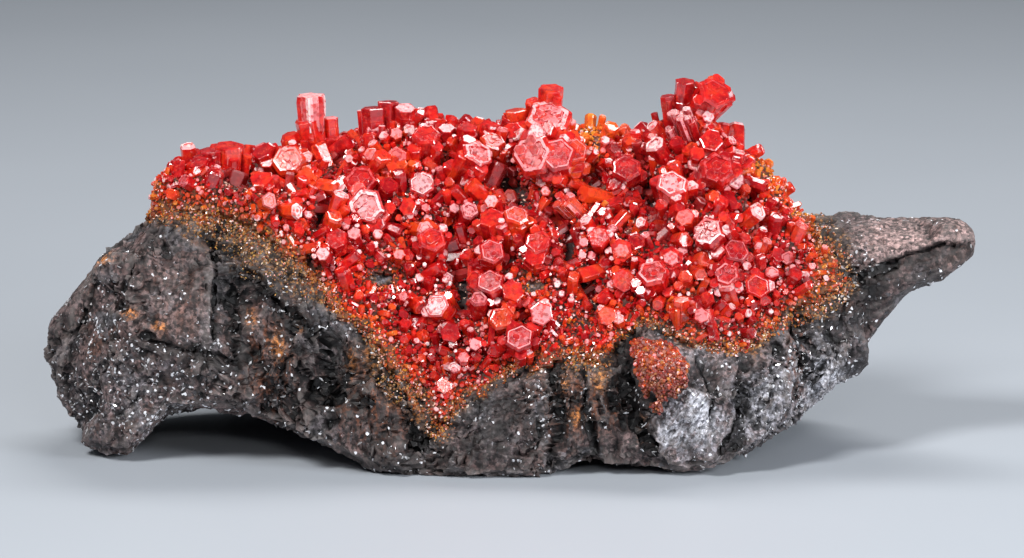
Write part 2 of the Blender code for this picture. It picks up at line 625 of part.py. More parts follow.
def add_patch_crystals(bm, tree):
    for i, (across, up, radius, height) in enumerate(PATCH_CRYSTALS):
        rng = random.Random(i)
        axis = leaning(rng.uniform(-PATCH_FAN, PATCH_FAN), rng.uniform(0, PATCH_FAN))
        root, axis, height = stand(tree, across, up, height + PATCH_DEPTH, axis)
        add_prism(bm, root, axis, radius, height, "plain", rng.uniform(0, 60))


def boolean(obj, other, operation):
    change = obj.modifiers.new(operation.lower(), "BOOLEAN")
    change.operation = operation
    change.object = other
    change.use_self = True
    apply_modifiers(obj)
    bpy.data.objects.remove(other, do_unlink=True)


def grow_crust(rock, shell, add_crystals):
    """Joins crystals to a shell of crust and cuts the rock away from both."""
    bm = bmesh.new()
    tree = BVHTree.FromObject(rock, bpy.context.evaluated_depsgraph_get())
    add_crystals(bm, tree)
    crystals = mesh_object("crystals", bm)
    boolean(shell, crystals, "UNION")
    boolean(shell, rock_cutter(rock), "DIFFERENCE")
    edit(shell, keep_largest_island)


def add_crust_crystals(bm, tree):
    placed = add_table_crystals(bm, tree) + add_sprays(bm, tree)
    add_fill_crystals(bm, tree, placed)


def give_material(obj, name):
    colour, roughness, metallic = MATERIALS[name]
    material = bpy.data.materials.new(name)
    material.use_nodes = True
    material.diffuse_color = (*colour, 1)
    shader = material.node_tree.nodes["Principled BSDF"]
    shader.inputs["Base Color"].default_value = (*colour, 1)
    shader.inputs["Roughness"].default_value = roughness
    shader.inputs["Metallic"].default_value = metallic
    obj.data.materials.clear()
    obj.data.materials.append(material)


def main():
    clear_scene()
    rock = make_rock()
    crust = swollen_rock(rock, "vanadinite_crust", crust_margin, crust_depth, CRUST_TAPER)
    grow_crust(rock, crust, add_crust_crystals)
    patch = swollen_rock(rock, "vanadinite_front_patch", patch_margin, patch_depth, PATCH_TAPER)
    grow_crust(rock, patch, add_patch_crystals)
    give_material(rock, "iron_manganese_rock")
    give_material(crust, "red_vanadinite")
    give_material(patch, "orange_vanadinite")


if __name__ == "__main__":
    main()
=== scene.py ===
"""The looks of the vanadinite specimen: dark broken rock under a crust of red crystals.

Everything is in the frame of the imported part. Lengths in the tables are in millimetres. The tables
say where things are on the specimen. The functions after them make the rock, the ground of the
crust, the crystals, the materials and the stage, and main puts them together.
"""

import itertools
import math
import random

import bpy
import numpy as np
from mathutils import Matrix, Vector
from mathutils.bvhtree import BVHTree


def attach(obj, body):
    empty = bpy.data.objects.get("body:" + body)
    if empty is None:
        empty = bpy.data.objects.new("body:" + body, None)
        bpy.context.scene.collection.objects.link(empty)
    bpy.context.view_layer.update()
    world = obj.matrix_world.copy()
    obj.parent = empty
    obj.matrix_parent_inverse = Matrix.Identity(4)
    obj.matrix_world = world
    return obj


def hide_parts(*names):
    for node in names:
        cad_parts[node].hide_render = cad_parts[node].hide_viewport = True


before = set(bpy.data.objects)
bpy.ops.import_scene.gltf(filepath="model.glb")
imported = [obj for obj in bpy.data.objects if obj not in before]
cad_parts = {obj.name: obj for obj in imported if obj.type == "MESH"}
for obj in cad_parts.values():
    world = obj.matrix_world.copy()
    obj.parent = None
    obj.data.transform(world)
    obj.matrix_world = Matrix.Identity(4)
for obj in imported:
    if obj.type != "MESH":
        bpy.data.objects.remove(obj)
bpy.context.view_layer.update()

MM = 0.001

# ---------------------------------------------------------------- the front, as the camera sees it

# A place on the front is a distance across from the middle and a distance up from the front foot.
FRONT_TILT = math.radians(12)
FRONT_FOOT = Vector((0, -17, 0))
ACROSS = Vector((1, 0, 0))
TOWARD_FRONT = Vector((0, -math.cos(FRONT_TILT), math.sin(FRONT_TILT)))
UPWARD = Vector((0, math.sin(FRONT_TILT), math.cos(FRONT_TILT)))
FAR = 100.0  # how far before the front rays start
RIDGE_Y = 5.0  # where crystals stand that show above the rock
# How far back, in Y, what is told by its place on the front reaches.
STAIN_Y, AREA_Y, CUT_Y, CRUST_Y, GOLD_Y, MARGIN_Y = -1, 2, 4, 8, 10, 12

LENS, SENSOR = 300.0, 36.0
FRAME_WIDTH = 109.5
FRAME_MIDDLE = (0.43, 20.64)  # (across, up)
FRAME_DEPTH = 8.0  # how far behind the front foot the frame's width is measured

# ---------------------------------------------------------------- rock

ROCK_VOXEL, ROCK_SMOOTHING = 0.25, 6
ROCK_MOST = 172_000  # triangles
# Each scale of broken faces: size of its cells, how much taller than wide they are, how flat a
# face is, how far it stands out or sinks, and how far it tilts.
FRACTURES = (
    (4.4, 1.5, 0.80, 0.25, 0.20),
    (2.1, 1.9, 0.80, 0.15, 0.32),
    (1.0, 1.5, 0.75, 0.06, 0.36),
    (0.55, 1.0, 0.70, 0.02, 0.36),
)
FRACTURE_WANDER = 0.25  # of the size of a cell: how crooked its edges are
MOST_PUSH = 0.16  # of the size of a cell
FEWEST_POINTS = 5  # in a broken face
GRAIN = ((0.8, 0.07), (0.4, 0.05))  # size and height of the fine roughness
LEAST_FRONT = (0.1, 0.5)  # how squarely the rock faces the front, where cracks begin and are full

# Areas of the front with a finish of their own: middle (across, up), radii, how calm the breaks
# are (0 to 1), and how pale and how rusty the rock is there.
CALM, PALE, RUST = 2, 3, 4
ROCK_AREAS = {
    "brown_facet": ((-35.3, 17.6), (4.2, 6.0), 0.6, 0.32, 0.25),
    "left_facet": ((-46.5, 16.0), (3.2, 6.0), 0.5, 0.2, 0.0),
    "left_block": ((-29.6, 14.8), (1.4, 3.6), 0.6, 0.4, 0.1),
    "arm": ((43.5, 24.8), (8.0, 2.6), 0.7, 1.5, 0.0),
    "arm_end": ((48.8, 24.0), (2.4, 3.0), 0.7, 1.5, 0.0),
    "purple_ledge": ((18.6, 12.8), (6.0, 2.6), 0.85, 0.75, 0.0),
    "right_lobe": ((19.5, 5.4), (4.4, 4.2), 0.5, 0.7, 0.0),
    "slanted_lens": ((-0.6, 5.4), (5.2, 3.8), 0.4, 0.15, 0.0),
    "rusty_rib": ((-25.2, 12.0), (2.6, 6.0), 0.2, 0.1, 1.0),
    "middle_left": ((-14.0, 8.5), (5.0, 5.5), 0.0, 0.0, 0.9),
    "middle_columns": ((7.0, 7.4), (6.0, 4.0), 0.1, 0.05, 0.8),
    "right_rust": ((30.8, 12.0), (1.4, 5.0), 0.1, 0.1, 0.8),
    "underside_glitter": ((-40.0, 7.0), (7.0, 6.5), 0.1, 0.1, 0.1),
}
# Grey-blue areas of the front, the strongest of them with a painted sheen: middle (across, up), radii
# and strength.
COOL_AREAS = (
    ((-0.6, 5.4), (5.4, 4.0), 0.35),
    ((3.6, 6.6), (0.9, 4.0), 1.0),
    ((19.5, 5.2), (4.6, 4.0), 1.25),
    ((20.2, 6.2), (1.3, 3.2), 2.0),
    ((17.4, 4.2), (2.4, 2.0), 1.4),
    ((18.6, 12.4), (6.0, 2.4), 0.55),
    ((32.0, 9.4), (5.4, 6.4), 1.1),
    ((33.4, 9.4), (3.2, 4.8), 1.6),
    ((26.6, 7.0), (4.0, 4.8), 1.1),
    ((-40.0, 7.0), (7.0, 6.5), 0.3),
    ((-30.6, 19.4), (1.6, 5.0), 0.4),
    ((-17.0, 17.0), (2.6, 2.4), 0.7),
    ((-13.4, 20.6), (1.4, 0.9), 1.0),
    ((2.7, 19.8), (0.9, 0.6), 1.0),
)
# Orange stains of the front: middle (across, up) and radii.
STAINS = (
    ((-40.2, 17.0), (0.9, 0.6)), ((7.2, 6.0), (0.9, 0.9)), ((-43.6, 23.0), (1.5, 0.9)),
    ((-27.3, 16.4), (0.6, 1.1)), ((-22.1, 15.9), (0.8, 0.9)), ((-14.2, 12.6), (1.0, 2.2)),
    ((-9.8, 6.6), (0.9, 1.6)), ((9.8, 10.2), (0.8, 1.4)), ((31.6, 18.0), (0.7, 1.6)),
    ((-16.6, 11.6), (0.6, 1.4)), ((-12.2, 9.0), (0.7, 1.8)), ((-24.4, 13.6), (0.8, 1.6)),
    ((14.2, 5.0), (0.5, 1.6)), ((6.0, 9.6), (0.6, 0.9)), ((-37.0, 15.6), (0.8, 0.5)),
)
# Edges that catch the light, given a painted highlight: half width and the points (across, up)
# that each one runs through.
LIT_EDGES = (
    (0.30, ((-44.0, 22.4), (-45.6, 19.5), (-47.0, 15.0), (-48.0, 11.0))),
    (0.22, ((-31.7, 23.0), (-31.8, 15.2), (-32.2, 12.8))),
    (0.20, ((38.0, 20.3), (43.0, 22.3), (48.4, 24.0))),
    (0.16, ((38.6, 17.6), (42.4, 19.2), (46.0, 21.0))),
    (0.16, ((36.0, 14.2), (38.4, 16.4), (41.6, 17.8))),
    (0.25, ((4.4, 9.8), (3.5, 6.6), (4.4, 2.4))),
    (0.16, ((-4.6, 2.8), (-1.0, 6.0), (2.6, 9.6))),
    (0.12, ((-2.6, 1.8), (0.6, 4.6), (3.0, 7.0))),
    (0.20, ((-28.2, 11.9), (-28.0, 17.2))),
    (0.18, ((-36.0, 13.2), (-31.0, 11.6))),
    (0.20, ((15.8, 8.6), (18.6, 9.2), (22.6, 8.4))),
    (0.16, ((16.0, 3.6), (18.8, 3.0), (22.6, 4.6))),
    (0.20, ((-19.8, 17.6), (-17.2, 14.6), (-15.2, 13.6))),
    (0.30, ((-37.4, 6.2), (-33.0, 7.6), (-27.6, 7.0), (-22.2, 4.9), (-18.0, 2.8), (-13.7, 1.0))),
    (0.25, ((-11.0, 0.5), (-3.0, 0.3), (3.0, 0.3), (7.0, 1.4), (13.0, 0.8), (18.0, 0.5))),
    (0.30, ((18.0, 0.5), (23.0, 1.4), (28.0, 3.6), (32.0, 7.0), (35.6, 10.0))),
)
# Dark areas of the front, partly dark rock and partly painted shade: middle (across, up), radii and
# strength.
SHADED_AREAS = (
    ((-0.8, 5.0), (6.0, 4.6), 0.95),
    ((-35.0, 21.0), (3.0, 2.0), 0.3),
    ((-18.0, 8.6), (4.0, 3.6), 0.85),
    ((-12.5, 4.0), (4.0, 3.0), 0.7),
    ((-8.6, 5.0), (3.0, 3.4), 0.5),
    ((34.2, 23.4), (2.8, 5.0), 0.9),
    ((29.0, 14.6), (1.6, 2.6), 0.5),
    ((-28.6, 17.6), (1.5, 5.0), 0.35),
    ((13.0, 8.0), (1.5, 4.2), 0.8),
    ((36.0, 17.6), (3.0, 3.6), 0.75),
    ((37.0, 11.8), (1.8, 2.2), 0.8),
    ((-24.5, 18.5), (2.0, 3.0), 0.5),
    ((-11.0, 3.2), (8.0, 3.2), 0.6),
    ((7.5, 3.4), (6.0, 3.6), 0.45),
    ((-24.0, 10.0), (3.4, 5.0), 0.35),
)
# Bands of painted shade along grooves of the front: half width, strength and the points (across, up)
# that each runs through.
DARK_BANDS = (
    (0.9, 0.9, ((38.6, 19.4), (41.6, 22.2), (45.0, 23.2), (49.6, 23.6))),
    (1.5, 0.55, ((37.0, 17.4), (42.0, 20.2), (48.6, 22.4))),
    (1.1, 0.95, ((13.0, 14.2), (13.1, 9.0), (14.6, 4.4))),
    (1.0, 0.8, ((-27.0, 21.4), (-23.9, 17.9), (-20.1, 15.2))),
    (0.9, 0.7, ((-38.0, 13.6), (-31.3, 12.0), (-28.4, 11.4))),
)
# Cracks of the front: width, depth and the points (across, up) that each one runs through.
CRACKS = (
    (0.45, 1.1, ((-27.1, 21.6), (-23.9, 17.9), (-20.1, 15.2), (-18.8, 12.4))),
    (0.35, 0.8, ((-31.4, 24.4), (-31.2, 20.0), (-31.3, 15.0))),
    (0.35, 0.6, ((-28.5, 18.6), (-28.2, 12.2))),
    (0.35, 0.6, ((-37.8, 13.8), (-31.3, 12.2), (-28.6, 11.7))),
    (0.55, 1.5, ((12.6, 13.2), (12.9, 8.0), (14.4, 4.8), (15.9, 2.6))),
    (0.40, 1.0, ((30.8, 19.6), (30.3, 15.2), (31.2, 10.8))),
    (0.35, 0.7, ((-0.9, 10.8), (-5.7, 7.7), (-8.3, 3.6))),
    (0.40, 0.8, ((4.2, 11.5), (5.1, 6.0), (4.2, 0.8))),
    (0.30, 0.7, ((8.4, 12.0), (8.6, 6.4), (9.4, 2.0))),
    (0.35, 0.7, ((24.3, 10.0), (24.4, 6.0), (22.6, 2.0))),
    (0.35, 0.7, ((37.6, 21.4), (42.6, 23.4), (49.0, 24.6))),
    (0.35, 0.6, ((34.0, 20.6), (38.4, 20.4), (41.5, 22.0))),
    (0.40, 0.8, ((-13.0, 16.0), (-11.6, 10.0), (-9.4, 4.8))),
    (0.35, 0.35, ((-44.6, 20.0), (-45.6, 16.0), (-47.8, 10.8))),
    (0.30, 0.6, ((-22.6, 16.0), (-23.6, 10.0), (-22.0, 6.0))),
    (0.30, 0.6, ((20.2, 12.0), (21.6, 8.4), (21.4, 6.6))),
)
ARM_FROM, ARM_CALM = (34.0, 40.0), 0.6  # in X, and how calm the breaks are along the arm
HOLLOW_DEPTH = 1.8  # of the dark hollows between the crystals
GRAINY_MOUND = 0.9  # how far the clusters of fine grains stand up
# How far a point stands out from, or lies behind, the skin smoothed a number of times, where its
# worn edge with its painted highlight, or its painted shade, is strongest: for edges and pits, and
# for wider hollows.
RELIEF, RELIEF_TIMES = 0.22, 14
BROAD_RELIEF, BROAD_TIMES = 0.5, 60
LIT_SHARE = 1.3  # how strongly the lit edges get their painted highlight
LIT_WANDER = (0.3, 0.9, 83)  # how they and the dark bands bend: height, size and seed
MOTTLES = (1.1, 81)  # size and seed of the spots of the dark areas
FAULT_WIDTH = 1.8  # how far the sunk side of a crack stays low
CRACK_BEND, BEND_SIZE = 0.5, 1.6  # how far the cracks wander, and how wide their bends are
# Pits of the front: place (across, up), radius and depth.
PITS = (
    (-19.0, 8.8, 1.5, 1.5), (-15.6, 7.4, 1.0, 0.9), (-22.0, 13.4, 0.8, 0.8), (-41.0, 17.6, 0.5, 1.0),
    (-18.6, 5.6, 0.8, 0.9), (-13.6, 10.6, 0.7, 0.8), (-10.2, 2.6, 0.6, 0.6), (6.4, 8.0, 0.6, 0.7),
    (25.2, 11.4, 0.7, 0.7), (28.6, 13.0, 0.6, 0.6),
)

# The lower edge of the rock's left arch on the front, as (across, up).
ARCH = (
    (-41.5, 0.0), (-39.9, 2.9), (-38.3, 5.0), (-36.7, 6.3), (-32.9, 7.2), (-27.6, 6.5), (-22.2, 4.4),
    (-18.0, 2.3), (-13.7, 0.6), (-11.5, 0.0),
)
# Ridged grain of the front: middle (across, up), radii, how far its ridges lean to the right of
# upright, how wide and how high they are.
GRAIN_AREAS = (
    ((-35.3, 17.6), (4.2, 6.0), 4, 0.7, 0.16),
    ((-46.5, 14.0), (4.0, 7.0), 22, 1.0, 0.30),
    ((-40.0, 8.0), (6.0, 6.0), 38, 1.3, 0.45),
    ((-29.0, 12.0), (3.5, 6.0), -4, 1.2, 0.45),
    ((-23.5, 11.0), (3.5, 7.0), -14, 1.4, 0.60),
    ((-15.0, 9.0), (5.0, 6.0), 12, 1.5, 0.65),
    ((-1.0, 5.6), (5.6, 4.2), 52, 1.1, 0.50),
    ((7.5, 7.0), (5.5, 5.5), -4, 1.4, 0.70),
    ((14.5, 7.0), (2.0, 5.0), 16, 1.0, 0.40),
    ((19.5, 5.4), (4.4, 4.0), 38, 0.8, 0.22),
    ((19.0, 12.6), (5.5, 2.4), 70, 1.0, 0.25),
    ((29.5, 9.0), (6.0, 6.5), 10, 1.5, 0.70),
    ((41.5, 21.5), (8.5, 4.0), 72, 1.2, 0.40),
)
GRAIN_LONGER, GRAIN_DEEPER = 6.0, 3  # how much longer than wide and deeper than wide the ridges are
GRAIN_FINER = 2.3  # how much finer the second, lower ridges are
# Cleft faces of the front: place (across, up), how far it faces to the right and upwards, how deep
# it is cut, and the radius it stays within.
CLEFTS = (
    (-46.2, 14.5, -48, 6, 0.9, 9.0),
    (-47.5, 9.0, -40, -22, 0.8, 6.0),
    (-40.5, 17.5, -6, 30, 0.9, 6.0),
    (-41.0, 8.5, -12, -8, 0.9, 7.0),
    (-35.6, 18.0, -8, 8, 1.0, 7.0),
    (-33.0, 23.0, 2, 38, 0.8, 5.0),
    (-30.0, 18.0, 22, 6, 1.3, 4.0),
    (-29.6, 13.4, 6, -6, 0.7, 3.6),
    (-25.6, 15.5, -18, 4, 1.0, 5.0),
    (-24.6, 8.6, 4, -18, 0.8, 5.0),
    (-19.6, 10.0, 20, 6, 1.2, 4.6),
    (-16.4, 12.0, -22, 12, 0.9, 4.6),
    (-13.0, 6.6, 8, -14, 0.8, 4.4),
    (-8.6, 3.6, -24, -6, 0.8, 4.0),
    (-3.4, 6.4, -14, 20, 0.8, 5.0),
    (1.8, 4.4, 26, 2, 0.8, 4.0),
    (6.2, 8.6, -18, 6, 0.7, 4.0),
    (8.0, 3.6, 10, -14, 0.7, 3.6),
    (11.2, 8.0, 20, 0, 0.8, 3.6),
    (13.6, 3.8, -16, -12, 0.7, 3.6),
    (18.2, 12.6, 0, 44, 0.9, 5.0),
    (22.6, 11.2, 14, 30, 0.8, 4.0),
    (17.6, 6.4, -20, 4, 0.8, 4.6),
    (22.0, 4.6, 24, -4, 0.8, 4.0),
    (26.8, 7.8, 4, 6, 0.8, 4.0),
    (30.6, 12.8, 22, 10, 0.8, 4.6),
    (34.2, 15.6, 10, -6, 0.9, 4.0),
    (33.0, 8.4, 16, -24, 0.8, 4.6),
    (40.0, 25.6, 4, 62, 0.7, 7.0),
    (43.0, 22.6, 8, 2, 0.8, 8.0),
    (41.0, 18.6, 16, -30, 0.7, 6.0),
)
CLEFT_EDGE, CLEFT_MOST = 0.7, 2.5  # where a cleft fades out, and its most, as shares
# More of them all round, smaller: how many, least and greatest radius, their depth as a share of
# it, and how much they lean about.
STRAY_CLEFTS, STRAY_SIZES, STRAY_DEPTH, STRAY_LEAN = 320, (1.5, 4.2), 0.16, 0.22
# How much the rock glints, and how uneven that is: height, size and seed of its noise.
GLINT_SHARE = 0.13
GLINT_WANDER = ((0.25, 3.0, 77), (0.15, 1.0, 78))
# Where it glints more or less: middle (across, up), radii and how much.
GLINT_AREAS = (
    ((-40.0, 9.5), (8.0, 7.5), 0.6),
    ((27.0, 6.0), (5.0, 5.0), 0.3),
    ((-34.0, 6.0), (5.0, 3.0), 0.3),
    ((-16.0, 17.0), (3.0, 3.0), 0.4),
    ((3.4, 6.0), (1.2, 4.5), 0.7),
    ((20.6, 5.2), (1.6, 3.6), 0.8),
    ((33.0, 8.4), (3.5, 6.0), 0.6),
    ((36.0, 21.5), (3.0, 3.0), 0.5),
    ((32.5, 26.0), (2.5, 2.5), 0.3),
    ((-35.3, 17.6), (3.6, 5.0), -0.35),
    ((43.0, 24.6), (7.0, 2.0), -0.25),
)
# Swellings of the rock: middle (x, y, z), radius, and how far they stand out.
SWELLINGS = (
    ((46.5, -3.0, 20.2), 3.2, 1.1),
    ((48.5, -1.5, 22.6), 2.4, 0.8),
    ((36.8, -6.0, 10.2), 2.0, 1.7),
    ((-42.5, -9.0, 21.0), 2.8, 0.4),
)

# ---------------------------------------------------------------- crust, as in the part's source

# The crust's edge on the front, as (across, up). It closes high above the ridge.
CRUST_OUTLINE = (
    (-38.2, 27.5), (-33.0, 27.2), (-29.7, 27.5), (-27.6, 26.4), (-22.2, 22.5), (-19.0, 18.4),
    (-16.9, 16.5), (-14.8, 15.2), (-11.6, 11.4), (-9.4, 7.7), (-7.3, 5.0), (-4.1, 8.2),
    (-0.9, 10.0), (2.4, 12.0), (4.5, 12.2), (9.8, 12.5), (12.5, 15.2), (14.1, 16.3),
    (20.5, 13.6), (24.3, 13.0), (25.9, 13.6), (30.2, 16.3), (33.0, 18.4), (35.5, 20.0),
    (34.4, 23.7), (31.2, 27.5), (30.0, 60.0), (-38.2, 60.0),
)
CRUST_BACK = 12.0  # how far back it reaches, in Y
BACK_WANDER, BACK_LUMP = 3.0, 7.0  # how its back edge winds
CRUST_LOWEST = 3.8  # in Z
CRUST_DEPTH = (0.9, 2.3)  # at its lower edge and along the ridge
CRUST_TAPER = 3.2  # the width of the margin in which it thins out
RIDGE_HEIGHT = (16.0, 30.0)  # in Z, from the lower edge to the ridge
PATCH_OUTLINE = ((13.2, 13.8), (17.2, 13.4), (18.7, 10.6), (16.8, 7.6), (15.7, 5.8), (14.4, 9.6))

# ---------------------------------------------------------------- crystals of the crust

# Seeds of the random draws: for what numpy draws, and for the shapes of the crystals.
STRAY_SEED, SMALLER_SEED = 12, 500
FILL_SEEDS, MARGIN_SEEDS, PATCH_SEEDS, FLAKE_SEEDS = (4, 9), (21, 5), (8, 3), (33, 6)

CRUST_VOXEL, CRUST_SMOOTHING = 0.5, 2
SKIN_TAPER = 2.6  # the width of the margin in which the crust's lowest druse thins out
PATCH_DEPTH, PATCH_TAPER = 0.9, 1.0
SKIN_EDGE = -0.3  # the margin at which the skin of the crust starts
SKIN_UNDER = 0.5  # how deep within the rock its lower side lies
# Lumps of the skin: size of the cells, height, and the distance at which they are level.
SKIN_LUMPS = ((1.15, 0.55, 0.6), (0.5, 0.22, 0.5))
SKIN_SWELL = (3.0, 0.4)  # size and height
# How uneven the edges of the crust, of its orange rim and of its brown bands are: height, size
# and seed of the noise.
EDGE_WANDER = ((1.0, 2.6, 61), (0.5, 0.9, 62))
ORANGE_WANDER, BROWN_WANDER = (0.8, 2.5, 33), (0.8, 2.2, 35)
ORANGE_RIM, RIM_STRENGTH = 2.4, 0.75  # how wide the orange rim is, and how orange
ROOT_DEPTH = 2.5  # how far below its place on the rock a crystal starts
FOOT_DEPTH = 2.2  # how deep within the rock the crystals of the ridge start

# Crystals of the crust: middle of the cap (across, up), radius, height above the rock, how far it
# leans to the right and upwards from straight out of the front, and form.
CRYSTALS = (
    (4.3, 38.3, 2.6, 6.0, -8, 25, "hopper"),
    (4.7, 41.3, 1.4, 5.5, 5, 80, "plain"),
    (0.9, 38.9, 1.3, 4.2, -22, 76, "plain"),
    (0.5, 36.7, 1.1, 3.5, -10, 35, "plain"),
    (2.6, 33.9, 2.6, 6.5, -23, 13, "barrel"),
    (5.2, 34.0, 2.1, 6.0, -2, 24, "flat"),
    (7.2, 34.4, 1.6, 5.5, 12, 25, "flat"),
    (7.0, 35.9, 1.0, 4.0, 14, 35, "plain"),
    (13.3, 35.8, 1.1, 3.5, 5, 45, "plain"),
    (12.6, 32.6, 1.7, 4.5, -5, 20, "flat"),
    (19.1, 42.0, 1.2, 6.0, 10, 75, "plain"),
    (17.2, 40.4, 0.9, 5.0, 0, 80, "plain"),
    (18.0, 38.9, 1.7, 6.0, -30, 50, "bundle"),
    (22.4, 40.7, 2.1, 5.5, 28, 30, "flat"),
    (21.3, 38.6, 1.1, 4.0, 5, 25, "plain"),
    (21.9, 35.6, 1.4, 4.0, 10, 30, "plain"),
    (22.4, 32.6, 2.1, 4.5, 8, 20, "barrel"),
    (24.9, 34.3, 0.9, 3.5, 25, 55, "point"),
    (17.5, 30.9, 1.8, 4.5, -6, 35, "flat"),
    (21.2, 25.7, 2.0, 4.5, -20, 25, "barrel"),
    (18.8, 27.2, 1.1, 3.5, -10, 30, "plain"),
    (5.8, 29.5, 1.2, 4.5, -45, 35, "bundle"),
    (3.2, 24.6, 1.5, 3.5, -5, 20, "flat"),
    (0.9, 27.6, 1.5, 4.0, 8, 45, "flat"),
    (-21.3, 40.4, 1.75, 5.4, 4, 78, "crown"),
    (-21.5, 38.0, 1.6, 3.5, -5, 45, "flat"),
    (-23.5, 36.3, 1.2, 4.0, -15, 50, "point"),
    (-18.9, 36.0, 1.2, 3.5, 15, 35, "plain"),
    (-23.7, 33.5, 2.0, 4.0, -8, 25, "barrel"),
    (-26.3, 34.4, 1.3, 4.0, -30, 40, "plain"),
    (-21.6, 31.7, 1.1, 3.0, 0, 15, "plain"),
    (-26.3, 31.4, 1.3, 3.0, -15, 45, "plain"),
    (-29.9, 35.0, 1.7, 4.0, 3, 72, "plain"),
    (-31.9, 34.4, 1.2, 3.6, -8, 68, "plain"),
    (-33.0, 33.2, 1.1, 3.2, -25, 50, "plain"),
    (-14.5, 39.1, 1.4, 5.0, -12, 80, "plain"),
    (-12.9, 39.8, 1.25, 5.0, 3, 82, "plain"),
    (-14.2, 36.3, 1.3, 3.5, 0, 25, "plain"),
    (-11.1, 39.1, 1.2, 3.5, 5, 55, "plain"),
    (-8.8, 36.3, 1.6, 4.5, 10, 45, "flat"),
    (-6.6, 36.9, 1.0, 3.5, 0, 55, "plain"),
    (-4.4, 37.0, 1.2, 4.0, 5, 65, "plain"),
    (-3.1, 34.3, 1.9, 5.0, 28, 40, "hopper"),
    (-1.6, 35.6, 1.5, 4.0, 15, 50, "flat"),
    (-9.2, 30.9, 1.5, 3.5, -5, 15, "flat"),
    (-15.1, 28.4, 2.1, 3.5, -8, 12, "hopper"),
    (-10.7, 28.4, 1.0, 3.0, 0, 15, "plain"),
    (-15.7, 31.3, 1.9, 3.5, 5, 30, "barrel"),
    (-17.6, 30.9, 1.0, 3.0, -10, 15, "plain"),
    (-12.0, 33.0, 1.3, 3.5, 0, 35, "plain"),
    (-18.3, 25.0, 1.3, 3.5, -12, 30, "plain"),
    (-8.1, 25.0, 1.6, 4.0, 10, 35, "flat"),
    (-1.6, 23.7, 1.5, 3.5, 5, 25, "flat"),
    (-1.8, 27.2, 1.4, 4.0, -10, 40, "plain"),
    (3.6, 17.0, 1.3, 3.0, 0, 5, "plain"),
    (-0.6, 16.6, 1.5, 3.0, -5, 20, "barrel"),
    (-7.7, 17.8, 1.4, 3.5, -22, 16, "flat"),
    (-6.8, 9.3, 0.9, 1.5, 0, 5, "plain"),
    (-1.9, 20.4, 1.6, 3.5, -15, 30, "flat"),
    (0.6, 19.4, 1.3, 3.0, 10, 20, "plain"),
    (2.9, 23.1, 1.2, 3.0, 5, 25, "plain"),
    (-6.1, 15.0, 1.2, 2.5, 0, 15, "plain"),
    (10.5, 16.8, 1.1, 2.5, 5, 10, "plain"),
    (1.3, 14.5, 1.7, 2.5, 0, 30, "flat"),
    (24.3, 23.7, 1.5, 3.5, 15, 25, "flat"),
    (23.2, 21.2, 1.5, 3.0, 0, 20, "barrel"),
    (26.6, 19.9, 1.4, 3.0, 12, 4, "flat"),
    (12.3, 20.5, 1.3, 3.0, 6, 10, "plain"),
    (15.3, 21.4, 1.8, 3.5, -10, 30, "barrel"),
    (17.3, 22.9, 1.4, 3.0, 5, 25, "plain"),
    (18.4, 18.5, 0.9, 3.0, 0, 60, "plain"),
    (28.9, 23.3, 0.9, 2.5, 20, 20, "plain"),
    (12.1, 23.7, 1.3, 3.0, 0, 20, "plain"),
    (9.6, 25.1, 1.3, 3.5, -10, 25, "plain"),
)
# The forms: how frosted the caps are, with their painted highlight, from least to most. For a single
# crystal also the size of its bevel, the radius and depth of a sunk cap, as shares of the crystal's
# radius, and how many plates lie on the cap and how many thinner crystals grow against the sides.
FROST_AND_HIGHLIGHT = {
    "hopper": (0.5, 0.8), "barrel": (0.1, 0.4), "flat": (0.15, 0.5), "plain": (0.0, 0.3),
    "point": (0.0, 0.1), "bundle": (0.4, 0.6), "crown": (0.7, 0.8),
}
FORMS = {
    "hopper": (0.10, (0.70, 0.12), 18, 8), "barrel": (0.22, (0.74, 0.07), 16, 11),
    "flat": (0.14, (0.8, 0.04), 10, 9), "plain": (0.05, None, 3, 6), "point": (0.6, None, 0, 3),
}
# Crystals whose caps are paler, with more frost and painted highlight, or clearer than their form
# says, by their number in CRYSTALS.
CAP_FROST_AND_HIGHLIGHT = {
    0: 0.6, 2: 0.3, 4: 0.45, 13: 0.12, 14: 0.95, 18: 1.0, 20: 0.5, 24: 0.75, 35: 0.3, 36: 0.3,
    37: 0.8, 38: 0.8, 40: 0.5, 44: 0.85, 45: 0.7, 54: 0.8, 56: 1.2,
}
# The tone of the large crystals and of those between them, middle and spread, from deep red at 0 to
# yellow at 1, and how far the large ones turn orange.
LARGE_TONE, FILL_TONE, LARGE_ORANGE = (0.14, 0.08), (0.2, 0.1), 0.35
GRAINY_TONE, BROWN_TONE = (0.55, 1.0), (0.45, 0.95)  # in the clusters and the brown bands
DEEP_SHARE, DEEP_RED = 0.35, 0.25  # how many are deeper red than the rest, and by how much
PALE_FROST_AND_HIGHLIGHT, CLEAR_FROST_AND_HIGHLIGHT = (0.4, 1.3), 0.08  # frost and painted highlight of pale caps, and of the rest
STEEP = 55  # degrees: a crystal of the ridge that leans up less is carried by an upright prism
# Crystals that stand behind their neighbours, by their number, and how far back.
SET_BACK = {1: 2.5, 10: 1.5, 11: 1.5}
